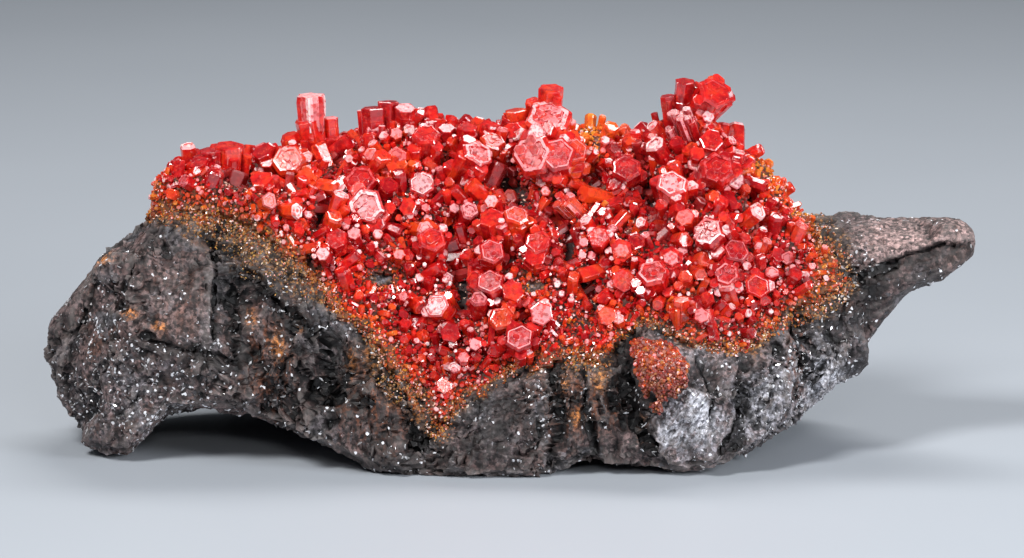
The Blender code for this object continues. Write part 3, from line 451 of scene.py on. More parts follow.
# Smaller crystals of the front, which the solid leaves out: cap (across, up), radius, and lean to
# the right and upwards.
SMALL_CRYSTALS = (
    (-19.1, 38.0, 0.8, 15, 50), (-21.8, 36.5, 0.75, 0, 25), (-26.8, 35.1, 0.65, -20, 40),
    (-8.8, 28.3, 0.5, 0, 10), (-5.7, 28.2, 0.6, 5, 15), (-14.7, 34.1, 0.85, 0, 30),
    (-17.1, 33.6, 0.5, -5, 15), (-19.7, 23.3, 0.8, -10, 20), (-16.4, 25.5, 0.8, -5, 30),
    (-11.1, 18.8, 0.55, 0, 15), (-3.5, 13.7, 0.75, 0, 10), (-4.7, 12.4, 0.65, 0, 15),
    (-11.6, 23.3, 0.65, 0, 15), (17.3, 22.9, 0.9, 5, 20), (20.5, 16.8, 0.9, 5, 10),
    (20.9, 38.6, 0.9, 25, 12), (8.1, 24.6, 0.55, 0, 10), (7.9, 23.2, 0.45, 0, 10),
    (-12.0, 36.3, 0.75, 5, 30), (-4.1, 36.3, 0.9, 0, 40), (-1.8, 29.0, 0.8, -5, 20),
    (12.1, 23.7, 0.8, 0, 20),
)
SMALL_HEIGHT = 3.4  # of each of them above the rock

# Where the crust is orange or yellow: middle (across, up), radius and strength.
ORANGE_SPOTS = (
    (8.9, 36.0, 2.4, 0.95), (12.0, 37.0, 2.2, 0.85), (27.5, 32.0, 2.8, 0.9), (23.0, 38.6, 1.3, 0.95),
    (5.8, 31.4, 3.0, 0.6), (9.8, 28.6, 1.4, 0.8), (-21.5, 37.6, 2.6, 0.55), (-23.2, 33.0, 1.6, 0.6),
    (-1.4, 27.4, 1.8, 0.5), (-12.1, 33.0, 2.0, 0.5), (-12.2, 22.0, 1.8, 0.6), (-21.6, 31.7, 1.3, 0.7),
    (-27.0, 26.0, 4.0, 0.5), (-6.0, 6.5, 2.5, 0.6), (2.6, 20.0, 1.6, 0.6), (10.5, 16.8, 2.0, 0.5),
    (18.4, 18.3, 2.0, 0.5), (-33.0, 28.0, 3.0, 0.5),
)
# Clusters of fine yellow-orange grains: middle (across, up), radius and strength.
GRAINY_SPOTS = (
    (8.7, 36.2, 2.0, 1.0), (11.4, 37.2, 1.6, 1.0), (9.6, 34.2, 1.2, 0.8), (27.8, 32.4, 2.0, 1.0),
    (29.0, 29.8, 1.4, 0.8), (23.2, 36.6, 0.9, 1.0), (-21.6, 35.6, 1.2, 0.8), (5.6, 32.0, 1.2, 0.7),
)
# Dark hollows between the crystals: half width, and the line (across, up) that each one follows.
HOLLOWS = (
    (1.6, ((-0.8, 31.6), (1.4, 29.4))),
    (1.9, ((12.8, 33.6), (14.2, 30.6))),
    (1.5, ((-29.6, 31.4), (-24.6, 30.6))),
    (0.8, ((-6.4, 26.0), (-5.6, 22.6), (-4.8, 19.2), (-5.0, 17.6))),
    (0.8, ((4.6, 27.6), (6.8, 24.8), (6.2, 22.4))),
    (0.8, ((8.2, 20.2), (9.4, 17.6))),
    (0.6, ((-5.6, 13.8), (-7.0, 12.6))),
    (0.7, ((-21.2, 22.6), (-20.4, 20.4))),
    (0.6, ((1.4, 17.2), (1.7, 15.6))),
    (0.6, ((-10.2, 17.0), (-9.4, 16.2))),
    (0.9, ((-1.6, 25.2), (0.2, 22.4))),
    (0.8, ((15.4, 28.8), (16.6, 24.8))),
    (0.7, ((19.4, 31.6), (20.4, 29.0))),
    (0.7, ((-11.8, 27.0), (-13.0, 24.6))),
    (0.8, ((-19.6, 28.8), (-20.4, 26.4))),
    (0.8, ((8.8, 33.4), (9.6, 30.4))),
    (0.7, ((-17.8, 34.6), (-18.8, 32.4))),
    (0.7, ((-6.6, 33.8), (-5.4, 30.8))),
    (0.6, ((25.6, 29.6), (26.2, 26.0))),
    (0.6, ((11.2, 28.6), (12.6, 26.0))),
)
# Grey rock that shows through the crust: middle (across, up), radius, and how much flatter than
# round the spots are.
BARE_SPOTS = ((-13.4, 20.6, 1.2), (2.7, 19.8, 0.7), (7.6, 15.9, 0.5))
BARE_FLATTER = 1.6
BUNDLE_PRISMS = 11
# How many places are tried for the druse beyond the margin and on the patch and for the flakes.
MARGIN_TRIES, PATCH_TRIES, FLAKE_TRIES = 20000, 1500, 18000
FLAKE_THICKNESS = 0.12  # of a flake's radius
# The radius of a flake: its least, how much more it may be, and how rare large ones are.
FLAKE_LEAST, FLAKE_MORE, FLAKE_RARE = 0.07, 0.29, 2.5
# How many shapes the crystals of a piece, or the flakes, are copies of.
FILL_SHAPES, DRUSE_SHAPES, FLAKE_SHAPES = 8, 6, 8
# Fine druse that spreads past the outline: middle (across, up), radii, and reach.
DRUSE_REACH = (
    ((-26.0, 24.0), (8.0, 6.5), 9.0),
    ((33.5, 22.0), (4.0, 7.0), 6.0),
    ((-34.0, 27.5), (5.0, 3.0), 2.5),
    ((-13.0, 10.0), (4.0, 6.0), 4.5),
    ((-7.0, 4.0), (3.4, 3.0), 2.8),
    ((9.4, 9.4), (3.4, 4.0), 4.5),
)
DRUSE_REACH_LEAST = 1.0  # everywhere else
# Where the crust stays brown and golden: half width and the points (across, up) that each area
# runs through.
BROWN_BANDS = (
    (2.6, ((-38.0, 27.8), (-29.5, 26.0), (-24.5, 23.4), (-20.6, 19.0))),
    (1.6, ((31.8, 29.0), (34.2, 24.0), (33.8, 19.6), (30.4, 16.6))),
    (1.0, ((-19.4, 17.6), (-15.2, 14.4), (-11.6, 10.4), (-8.8, 6.4))),
)

# ---------------------------------------------------------------- places on the front


def smooth_step(low, high, value):
    """0 up to low, 1 from high on, and smooth between them."""
    share = np.clip((value - low) / (high - low), 0, 1)
    return share * share * (3 - 2 * share)


def front_point(across, up):
    """The point of a place on the front, in the plane through the front foot that the camera faces."""
    return FRONT_FOOT + ACROSS * across + UPWARD * up


def front_places(points):
    """(across, up) of points, as two arrays."""
    away = points - np.array(FRONT_FOOT)
    return away[:, 0], away @ np.array(UPWARD)


def stretches(line, across, up):
    """For each stretch of a line: how far places are from it, and on which side they lie."""
    for (ax, ay), (bx, by) in zip(line, line[1:]):
        sx, sy = bx - ax, by - ay
        share = np.clip(((across - ax) * sx + (up - ay) * sy) / (sx * sx + sy * sy), 0, 1)
        away = np.hypot(across - ax - share * sx, up - ay - share * sy)
        yield away, sx * (up - ay) - sy * (across - ax)


def line_distance(line, across, up):
    """The distance of places from a line through some points."""
    return np.minimum.reduce([away for away, _ in stretches(line, across, up)])


def line_side(line, across, up):
    """Positive to the left of the nearest stretch of a line, going along it, and else negative."""
    nearest = np.full(len(across), np.inf)
    side = np.zeros(len(across))
    for away, turn in stretches(line, across, up):
        side = np.where(away < nearest, turn, side)
        nearest = np.minimum(nearest, away)
    return side


def line_band(width, line, across, up):
    """1 on a line, and 0 well past a width from it."""
    return np.exp(-((line_distance(line, across, up) / width) ** 4))


def outline_depth(outline, across, up):
    """How far places lie inside an outline, or minus how far outside it."""
    closed = (*outline, outline[0])
    inside = np.zeros(len(across), bool)
    for (ax, ay), (bx, by) in zip(closed, closed[1:]):
        if ay != by:
            crosses = (ay > up) != (by > up)
            inside ^= crosses & (across < ax + (up - ay) * (bx - ax) / (by - ay))
    nearest = line_distance(closed, across, up)
    return np.where(inside, nearest, -nearest)


def squared_radius(points, middle, radii):
    """How far points lie from the middle of an area of the front, squared, in its own radii."""
    across, up = front_places(points)
    return ((across - middle[0]) / radii[0]) ** 2 + ((up - middle[1]) / radii[1]) ** 2


def area_weight(points, middle, radii):
    """1 in the middle of an area of the front, and 0 well outside it."""
    away = squared_radius(points, middle, radii)
    return np.where(points[:, 1] < AREA_Y, np.exp(-away * away), 0)


def strongest(points, areas):
    """The greatest strength at each point, of areas given as middle, radii and strength."""
    return np.maximum.reduce([weight * area_weight(points, *area) for *area, weight in areas])


# ---------------------------------------------------------------- noise


def lattice(i, j, k, seed):
    """A number from 0 to 1 for each whole place (i, j, k)."""
    mask = 0xFFFFFFFF
    h = (i * 374761393 + j * 668265263 + k * 1440662683 + seed * 1274126177) & mask
    h = ((h ^ (h >> 13)) * 1274126177) & mask
    h = ((h ^ (h >> 16)) * 2246822519) & mask
    return ((h ^ (h >> 15)) & 0xFFFFFF) / 0xFFFFFF


def value_noise(points, size, seed):
    """Smooth noise from -1 to 1 with lumps of a size, which may differ by axis."""
    spot = points / size
    base = np.floor(spot).astype(np.int64)
    f = spot - base
    f = f * f * (3 - 2 * f)
    total = np.zeros(len(points))
    for corner in itertools.product((0, 1), repeat=3):
        weight = np.prod([f[:, a] if c else 1 - f[:, a] for a, c in enumerate(corner)], axis=0)
        total += weight * lattice(*(base[:, a] + c for a, c in enumerate(corner)), seed)
    return total * 2 - 1


def wander(points, height, size, seed):
    """How far something wanders at each point, up to a height either way."""
    return height * value_noise(points, size, seed)


def rough_noise(points, size, seed, octaves=3):
    """Noise from -1 to 1 with finer and finer lumps."""
    total, height = np.zeros(len(points)), 1.0
    for octave in range(octaves):
        total += height * value_noise(points, np.asarray(size) / 2**octave, seed + octave)
        height *= 0.5
    return total / (2 - 2 * height)


def cells(points, size, seed):
    """For each point: the number of the scattered seed that is nearest, and its distance from it."""
    spot = points / size
    base = np.floor(spot).astype(np.int64)
    best = np.full(len(points), np.inf)
    name = np.zeros(len(points), np.int64)
    for step in itertools.product((-1, 0, 1), repeat=3):
        at = [base[:, a] + s for a, s in enumerate(step)]
        seeds = np.stack([at[a] + lattice(*at, seed + a) for a in range(3)], axis=1)
        away = ((spot - seeds) ** 2).sum(axis=1)
        closer = away < best
        best = np.where(closer, away, best)
        number = (at[0] * 73856093) ^ (at[1] * 19349663) ^ (at[2] * 83492791)
        name = np.where(closer, number, name)
    return name, np.sqrt(best)


# ---------------------------------------------------------------- meshes as arrays


def mesh_arrays(mesh):
    """Points in millimetres and faces of a mesh of quads or of triangles."""
    points = np.empty(len(mesh.vertices) * 3, np.float32)
    mesh.vertices.foreach_get("co", points)
    corners = np.empty(len(mesh.loops), np.int32)
    mesh.loops.foreach_get("vertex_index", corners)
    sides = len(mesh.loops) // len(mesh.polygons)
    return points.reshape(-1, 3).astype(float) / MM, corners.reshape(-1, sides)


def evaluated_mesh(obj):
    """A new mesh of an object as its modifiers leave it."""
    bpy.context.view_layer.update()
    graph = bpy.context.evaluated_depsgraph_get()
    return bpy.data.meshes.new_from_object(obj.evaluated_get(graph), depsgraph=graph)


def make_object(name, points, faces, looks=()):
    """A mesh object from points in millimetres and a list of face arrays, each with one face size.

    looks holds named values, one for each face or one for each point.
    """
    mesh = bpy.data.meshes.new(name)
    corners = np.concatenate([f.reshape(-1) for f in faces]).astype(np.int32)
    sizes = np.concatenate([np.full(len(f), f.shape[1]) for f in faces])
    mesh.vertices.add(len(points))
    mesh.vertices.foreach_set("co", (points * MM).astype(np.float32).reshape(-1))
    mesh.loops.add(len(corners))
    mesh.loops.foreach_set("vertex_index", corners)
    mesh.polygons.add(len(sizes))
    starts = np.concatenate([[0], np.cumsum(sizes)[:-1]]).astype(np.int32)
    mesh.polygons.foreach_set("loop_start", starts)
    mesh.polygons.foreach_set("use_smooth", np.full(len(sizes), False))
    for key, values in dict(looks).items():
        where = "FACE" if len(values) == len(sizes) else "POINT"
        attribute = mesh.attributes.new(key, "FLOAT", where)
        attribute.data.foreach_set("value", np.asarray(values, np.float32))
    mesh.update(calc_edges=True)
    obj = bpy.data.objects.new(name, mesh)
    bpy.context.scene.collection.objects.link(obj)
    return obj


def remeshed(source, voxel):
    """Points and quads of a node's shape, remeshed evenly."""
    work = bpy.data.objects.new("work", source.data.copy())
    bpy.context.scene.collection.objects.link(work)
    fuse = work.modifiers.new("fuse", "REMESH")
    fuse.mode = "VOXEL"
    fuse.voxel_size = voxel * MM
    mesh = evaluated_mesh(work)
    bpy.data.objects.remove(work, do_unlink=True)
    return mesh_arrays(mesh)


def unit(vectors):
    return vectors / np.maximum(np.linalg.norm(vectors, axis=1, keepdims=True), 1e-9)


def tilted(rng, normals, spread):
    """Directions that lean a random way from normals."""
    return unit(normals + rng.normal(0, spread, normals.shape))


def quad_edges(quads):
    return np.concatenate([quads[:, [k, (k + 1) % 4]] for k in range(4)])


def quads_within(quads, inside):
    """The quads whose corners are all inside."""
    return quads[inside[quads].all(axis=1)]


def side_faces(low, high, count):
    """The quads between two rings of points, given the numbers at which the rings start."""
    k = np.arange(count)
    after = (k + 1) % count
    return np.stack([low + k, low + after, high + after, high + k], axis=1)


def point_normals(points, quads):
    a, b, c, d = (points[quads[:, k]] for k in range(4))
    across = np.cross(c - a, d - b)
    normals = np.zeros_like(points)
    for k in range(4):
        for axis in range(3):
            normals[:, axis] += np.bincount(quads[:, k], across[:, axis], len(points))
    return unit(normals)


def smoothed(points, quads, times, share=0.5):
    """Points drawn a number of times towards the middle of their neighbours."""
    ends = quad_edges(quads)
    ends = np.concatenate([ends, ends[:, ::-1]])
    count = np.bincount(ends[:, 0], minlength=len(points))[:, None]
    for _ in range(times):
        middle = np.stack(
            [np.bincount(ends[:, 0], points[ends[:, 1], axis], len(points)) for axis in range(3)],
            axis=1,
        )
        points = points + (middle / count - points) * share
    return points


CLEAVAGE = np.array([d for d in itertools.product((-1, 0, 1), repeat=3) if any(d)], float)
CLEAVAGE /= np.linalg.norm(CLEAVAGE, axis=1, keepdims=True)
CLEAVAGE_PULL = 0.3


def group_means(groups, count, values):
    total = np.stack([np.bincount(groups, values[:, axis], count) for axis in range(3)], axis=1)
    return total / np.bincount(groups, minlength=count)[:, None]


def break_surface(points, quads, fractures, strength):
    """Presses each broken face towards a tilted plane through its middle."""
    for number, (size, taller, flatness, step, tilt) in enumerate(fractures):
        normals = point_normals(points, quads)
        bends = np.stack([value_noise(points, size, 50 + a) for a in range(3)], axis=1)
        crooked = points + FRACTURE_WANDER * size * bends
        name, _ = cells(crooked, np.array((size, size, size * taller)), 7 + number)
        facing = np.argmax(normals @ CLEAVAGE.T, axis=1)
        _, groups = np.unique(name * 32 + facing, return_inverse=True)
        count = groups.max() + 1
        number_of = np.arange(count)
        turn = np.stack([2 * lattice(number_of, number, a, 17) - 1 for a in range(3)], axis=1)
        direction = unit(group_means(groups, count, normals))
        direction += group_means(groups, count, CLEAVAGE[facing]) * CLEAVAGE_PULL
        direction = unit(unit(direction) + turn * tilt)
        middle = group_means(groups, count, points)
        out = step * (2 * lattice(number_of, count, number, 3) - 1)
        away = ((points - middle[groups]) * direction[groups]).sum(axis=1)
        push = np.clip((out[groups] - away) * flatness, -MOST_PUSH * size, MOST_PUSH * size)
        push *= (np.bincount(groups)[groups] >= FEWEST_POINTS) * strength
        points = points + direction[groups] * push[:, None]
    return smoothed(points, quads, 1, 0.4)


# ---------------------------------------------------------------- crust area


def crust_margin(points):
    """How far points of the rock lie inside the crust's area."""
    depth = outline_depth(CRUST_OUTLINE, *front_places(points))
    back = CRUST_BACK + BACK_WANDER * value_noise(points, BACK_LUMP, 90)
    return np.minimum(np.minimum(depth, back - points[:, 1]), points[:, 2] - CRUST_LOWEST)


def patch_margin(points):
    depth = outline_depth(PATCH_OUTLINE, *front_places(points))
    return np.where(points[:, 1] > 0, -CRUST_TAPER, depth)


def ragged(margin, points):
    """A margin with the fine unevenness of the crust's edge and the bare spots in it."""
    across, up = front_places(points)
    edge = margin
    for noise in EDGE_WANDER:
        edge = edge + wander(points, *noise)
    for x, y, radius in BARE_SPOTS:
        away = np.hypot(across - x, (up - y) * BARE_FLATTER) - radius
        edge = np.where(points[:, 1] < CRUST_Y, np.minimum(edge, away), edge)
    return edge


def crust_depth(points):
    low, high = CRUST_DEPTH
    return low + (high - low) * smooth_step(*RIDGE_HEIGHT, points[:, 2])


def spot_strength(spots, points):
    """The largest strength of the round spots at each point of the front."""
    across, up = front_places(points)
    best = np.zeros(len(points))
    for x, y, radius, strength in spots:
        away = np.hypot(across - x, up - y) / radius
        best = np.maximum(best, strength * np.exp(-away * away))
    return best


def granular(points):
    """How strongly points lie in the yellow-orange clusters of fine grains."""
    return spot_strength(GRAINY_SPOTS, points)


def hollowness(points):
    """How far points of the front lie within the hollows, from 0 to 1."""
    across, up = front_places(points)
    deepest = np.maximum.reduce([line_band(*hollow, across, up) for hollow in HOLLOWS])
    return np.where(points[:, 1] < CUT_Y, deepest, 0)


def orange_share(points, margin):
    """How orange the crust is: near its edge and in spots."""
    edge = 1 - smooth_step(0.0, ORANGE_RIM, margin + wander(points, *ORANGE_WANDER))
    return np.clip(np.maximum(RIM_STRENGTH * edge, spot_strength(ORANGE_SPOTS, points)), 0, 1)


def browning(points):
    """How brown and golden the crust is at each point, from 0 to 1."""
    across, up = front_places(points)
    up = up + wander(points, *BROWN_WANDER)
    most = np.maximum.reduce([line_band(*band, across, up) for band in BROWN_BANDS])
    return np.where(points[:, 1] < CRUST_Y, most, 0)


def druse_reach(points):
    """How far past the crust's outline the fine druse spreads."""
    reach = np.full(len(points), DRUSE_REACH_LEAST)
    for middle, radii, far in DRUSE_REACH:
        reach = np.maximum(reach, far * np.exp(-squared_radius(points, middle, radii)))
    return reach


# ---------------------------------------------------------------- rock


def cut_cracks(points, normals):
    """How deep each point sinks into the cracks and pits, and how much painted shade that gives it."""
    across, up = (
        place + CRACK_BEND * value_noise(points, BEND_SIZE, 40 + number)
        for number, place in enumerate(front_places(points))
    )
    seen = smooth_step(*LEAST_FRONT, normals @ np.array(TOWARD_FRONT)) * (points[:, 1] < CUT_Y)
    sunk, dark = np.zeros(len(points)), np.zeros(len(points))
    for number, (width, depth, line) in enumerate(CRACKS):
        away = line_distance(line, across, up)
        groove = np.exp(-((away / (0.6 * width)) ** 2))
        side = np.sign(line_side(line, across, up)) * (1 if number % 2 else -1)
        fault = np.where(side > 0, np.exp(-((away / FAULT_WIDTH) ** 2)), 0)
        sunk += depth * (0.7 * fault + 0.6 * groove)
        dark = np.maximum(dark, np.where(side > 0, np.exp(-((away / (2 * width)) ** 2)), groove))
    for x, y, radius, depth in PITS:
        away = np.hypot(across - x, up - y) / radius
        sunk = np.maximum(sunk, depth * np.exp(-(away**4)))
        dark = np.maximum(dark, np.exp(-(away**4)))
    return sunk * seen, dark * seen


def shaped(points, normals):
    """The rock with its arch cut to its line and its swellings."""
    across, up = front_places(points)
    line = np.interp(across, [a for a, _ in ARCH], [b for _, b in ARCH], 0, 0)
    lift = np.where((across > ARCH[0][0]) & (across < ARCH[-1][0]), np.maximum(line - up, 0), 0)
    points = points + np.array(UPWARD) * lift[:, None]
    for middle, radius, height in SWELLINGS:
        away = ((points - np.array(middle)) ** 2).sum(axis=1) / radius**2
        points = points + normals * (height * np.exp(-away))[:, None]
    return points


def grained(points, normals):
    """The rock with ridged grain on its front."""
    across, up = front_places(points)
    total = np.zeros(len(points))
    for number, (middle, radii, lean, size, height) in enumerate(GRAIN_AREAS):
        turn = math.radians(lean)
        beside = across * math.cos(turn) - up * math.sin(turn)
        along = across * math.sin(turn) + up * math.cos(turn)
        spot = np.stack([beside, along / GRAIN_LONGER, points[:, 1] / GRAIN_DEEPER], axis=1)
        ridge = 0.5 - np.abs(value_noise(spot, size, 200 + number))
        ridge += 0.5 * (0.5 - np.abs(value_noise(spot, size / GRAIN_FINER, 230 + number)))
        total += height * ridge * area_weight(points, middle, radii)
    return points + normals * total[:, None]


def cleave(points, at, facing, depth, radius):
    """Cuts what stands out past a plane, within a radius."""
    plane = at - facing * depth
    away = np.linalg.norm(points - at, axis=1)
    over = np.maximum((points - plane) @ facing, 0) * smooth_step(radius, CLEFT_EDGE * radius, away)
    return points - np.minimum(over, CLEFT_MOST * depth)[:, None] * facing


def cleaved(tree, points, quads):
    """The rock with its named cleft faces and many smaller ones all round."""
    for across, up, right, lean_up, depth, radius in CLEFTS:
        hit = seen_from_front(tree, front_point(across, up))
        if hit:
            facing = np.array(leaning(right, lean_up))
            points = cleave(points, np.array(hit) / MM, facing, depth, radius)
    rng = np.random.default_rng(STRAY_SEED)
    spots, normals = sample_skin(rng, points, quads, STRAY_CLEFTS)
    facings = tilted(rng, normals, STRAY_LEAN)
    sizes = rng.uniform(*STRAY_SIZES, STRAY_CLEFTS)
    for at, facing, size in zip(spots, facings, sizes):
        points = cleave(points, at, facing, STRAY_DEPTH * size * rng.random(), size)
    return points


def glint_share(points):
    """How much the rock glints at each point, from 0 to 1."""
    share = GLINT_SHARE
    for noise in GLINT_WANDER:
        share = share + wander(points, *noise)
    for middle, radii, more in GLINT_AREAS:
        away = squared_radius(points, middle, radii)
        share += np.where(points[:, 1] < AREA_Y, more * np.exp(-away), 0)
    return np.clip(share, 0, 1)


def rock_area(points, kind):
    """How calm, pale or rusty the named areas of the rock make each point."""
    return strongest(points, [(*area[:2], area[kind]) for area in ROCK_AREAS.values()])


def rock_shape(tree):
    """The broken rock: points, quads, margin, the painted shade of its cracks, and how deep its hollows
    are.
    """
    points, quads = remeshed(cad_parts["matrix"], ROCK_VOXEL)
    points = smoothed(points, quads, ROCK_SMOOTHING)
    arm = smooth_step(*ARM_FROM, points[:, 0]) * smooth_step(CUT_Y, 0.0, points[:, 1])
    calm = np.maximum(rock_area(points, CALM), ARM_CALM * arm)
    points = shaped(points, point_normals(points, quads))
    points = cleaved(tree, points, quads)
    points = grained(points, point_normals(points, quads))
    points = break_surface(points, quads, FRACTURES, 1 - calm)
    normals = point_normals(points, quads)
    sunk, dark = cut_cracks(points, normals)
    rough = sum(h * rough_noise(points, s, 11 + i, 2) for i, (s, h) in enumerate(GRAIN))
    points = points + normals * (rough * (1 - 0.5 * calm) - sunk)[:, None]
    margin = crust_margin(points)
    hollow = hollowness(points) * smooth_step(0, 1.5, margin)
    points = points - normals * (HOLLOW_DEPTH * hollow)[:, None]
    points[:, 2] = np.maximum(points[:, 2], 0.0)
    return points, quads, margin, dark, hollow


def standing_out(points, quads, normals, times, share=0.5):
    """How far points stand out from, or lie behind, the skin smoothed a number of times."""
    return ((points - smoothed(points, quads, times, share)) * normals).sum(axis=1)


def rock_wear_light_and_shade(points, quads, dark):
    """Per point: the pale of worn edges with their painted highlight, the painted shade of cracks and
    recesses, and the painted shade of hollows and bands with the dark of the dark areas.
    """
    normals = point_normals(points, quads)
    relief = standing_out(points, quads, normals, RELIEF_TIMES) / RELIEF
    broad = standing_out(points, quads, normals, BROAD_TIMES, 0.9) / BROAD_RELIEF
    lit_and_worn_edge, dark = np.clip(relief, 0, 1), np.maximum(dark, np.clip(-relief, 0, 1))
    mottled = smooth_step(-0.5, 0.5, value_noise(points, *MOTTLES))
    shade = strongest(points, SHADED_AREAS) * (0.4 + 0.6 * mottled)
    deep = np.maximum(np.clip(-broad, 0, 1), shade)
    across, up = front_places(points)
    bend = wander(points, *LIT_WANDER)
    across, up = across + bend, up - bend
    front = points[:, 1] < CUT_Y
    for width, line in LIT_EDGES:
        away = line_distance(line, across, up) / width
        lit_and_worn_edge = np.maximum(lit_and_worn_edge, LIT_SHARE * np.exp(-away * away) * front)
    for width, strength, line in DARK_BANDS:
        band = strength * line_band(width, line, across, up) * front
        deep = np.maximum(deep, band * (0.7 + 0.3 * mottled))
    return lit_and_worn_edge, dark, deep


def make_rock(tree):
    """The piece of broken rock, and the points and quads of its skin before it was thinned."""
    points, quads, margin, dark, hollow = rock_shape(tree)
    lit_and_worn_edge, dark, deep = rock_wear_light_and_shade(points, quads, dark)
    edge = ragged(margin, points)
    back = np.where(points[:, 1] < GOLD_Y, 1.0, 0.6)
    stain = strongest(points, [(*area, 1.0) for area in STAINS])
    # Painted light and shade: a highlight on worn, lit edges, and near-black shade in cracks, recesses,
    # hollows and dark bands, and in the dark areas, which are partly dark rock.
    values = {
        "pale": rock_area(points, PALE), "rust": rock_area(points, RUST), "dark": dark,
        "lit_and_worn_edge": lit_and_worn_edge, "deep": np.maximum(deep, hollow), "cool": strongest(points, COOL_AREAS),
        "glint": glint_share(points), "stain": stain * (points[:, 1] < STAIN_Y),
        "gold": smooth_step(-druse_reach(points), 0.3, edge) * back,
        "under": smooth_step(-0.6, 0.8, edge),
    }
    rock = make_object("broken_rock", points, [quads], values)
    fewer = rock.modifiers.new("fewer", "DECIMATE")
    fewer.ratio = min(1, ROCK_MOST / (2 * len(quads)))
    mesh = evaluated_mesh(rock)
    rock.modifiers.clear()
    rock.data = mesh
    return rock, points, quads


# ---------------------------------------------------------------- crust base


def skin_height(points, share, depth, seed):
    """How far the lumpy skin of the crust stands out from the rock."""
    lumps = 0.0
    for number, (size, height, level) in enumerate(SKIN_LUMPS):
        lumps = lumps + height * (level - cells(points, size, seed + 5 * number)[1])
    size, height = SKIN_SWELL
    lumps = lumps + height * value_noise(points, size, seed + 9)
    out = share * (depth * 0.8 + lumps) - (HOLLOW_DEPTH + 0.8) * hollowness(points) * share
    return out + GRAINY_MOUND * granular(points) * share


def skin_piece(name, points, quads, margin, depth, taper, seed):
    """A closed skin on the rock where margin is above zero, thinning out towards its edge."""
    normals = point_normals(points, quads)
    edge = ragged(margin, points)
    share = smooth_step(SKIN_EDGE, taper, edge)
    out = skin_height(points, share, depth, seed)
    top = points + normals * np.where(share > 0, out, 0)[:, None]
    under = points - normals * SKIN_UNDER
    kept = quads_within(quads, edge > SKIN_EDGE)
    used, index = np.unique(kept, return_inverse=True)
    kept = index.reshape(kept.shape)
    count = len(used)
    ends = quad_edges(kept)
    key = np.sort(ends, axis=1)
    _, where, times = np.unique(key[:, 0] * count + key[:, 1], return_index=True, return_counts=True)
    rim = ends[where[times == 1]]
    walls = np.stack([rim[:, 1], rim[:, 0], rim[:, 0] + count, rim[:, 1] + count], axis=1)
    faces = [np.concatenate([kept, kept[:, ::-1] + count, walls])]
    both = np.concatenate([top[used], under[used]])
    orange = np.maximum(orange_share(points[used], margin[used]), browning(points[used]))
    # The dimness is painted shade in the hollows between the crystals.
    values = {"tone": np.tile(orange, 2), "dim": np.tile(hollowness(points[used]), 2)}
    return make_object(name, both, faces, values), top[used], kept


# ---------------------------------------------------------------- crystals


def leaning(right, up):
    """A direction that leans from straight out of the front by two angles."""
    a, b = math.radians(right), math.radians(up)
    level = ACROSS * math.sin(a) + TOWARD_FRONT * math.cos(a)
    return level * math.cos(b) + UPWARD * math.sin(b)


def square_to(axis):
    """Two directions square to an axis and to each other."""
    side = axis.orthogonal().normalized()
    return side, axis.cross(side)


def round_axis(rng, axis):
    """A random direction square to an axis."""
    side, other = square_to(axis)
    turn = rng.uniform(0, 2 * math.pi)
    return side * math.cos(turn) + other * math.sin(turn)


def seen_from_front(tree, point):
    """The place of the rock, in metres, that the front shows where the point is, if there is one."""
    return tree.ray_cast((point + TOWARD_FRONT * FAR) * MM, -TOWARD_FRONT)[0]


def below_skin(tree, point):
    """A place within the rock, beside the point's nearest place on its skin."""
    nearest, outward, _, _ = tree.find_nearest(point * MM)
    return nearest / MM - outward * FOOT_DEPTH


def stand(tree, across, up, height, axis):
    """Root, axis and height of a crystal whose cap is at a place of the front.

    Where its axis starts beside the rock, it grows from the nearest place of the ridge instead.
    """
    cap = front_point(across, up)
    root = seen_from_front(tree, cap - axis * height)
    if root:
        return root / MM, axis, height
    cap -= TOWARD_FRONT * (RIDGE_Y - cap.y) / -TOWARD_FRONT.y
    root = below_skin(tree, cap - axis * height)
    return root, (cap - root).normalized(), (cap - root).length


def hexagon(rng, uneven, chamfer, strips=1, groove=0.0):
    """Points round an uneven hexagon with 120-degree corners, each cut off a little.

    Each side may be grooved lengthwise: it is then made of strips that lie in or out a little.
    """
    turns = [math.radians(60 * k) for k in range(6)]
    out = [Vector((math.cos(t), math.sin(t))) for t in turns]
    along = [Vector((-math.sin(t), math.cos(t))) for t in turns]
    far = [math.cos(math.radians(30)) * (1 + rng.uniform(-uneven, uneven)) for _ in range(6)]
    corners = []
    for k in range(6):
        n = (k + 1) % 6
        reach = (far[n] - far[k] * out[k].dot(out[n])) / along[k].dot(out[n])
        corners.append(out[k] * far[k] + along[k] * reach)
    ring = []
    for k in range(6):
        start = corners[k - 1] + along[k] * chamfer
        end = corners[k] - along[k] * chamfer
        ring.append(start)
        cuts = sorted(rng.uniform(0.08, 0.92) for _ in range(strips - 1))
        depth = 0.0
        for cut in cuts:
            here = start.lerp(end, cut)
            ring.append(here - out[k] * depth)
            depth = rng.uniform(0, groove)
            ring.append(here + along[k] * 0.012 - out[k] * depth)
        ring.append(end)
    return np.array([tuple(p) for p in ring])


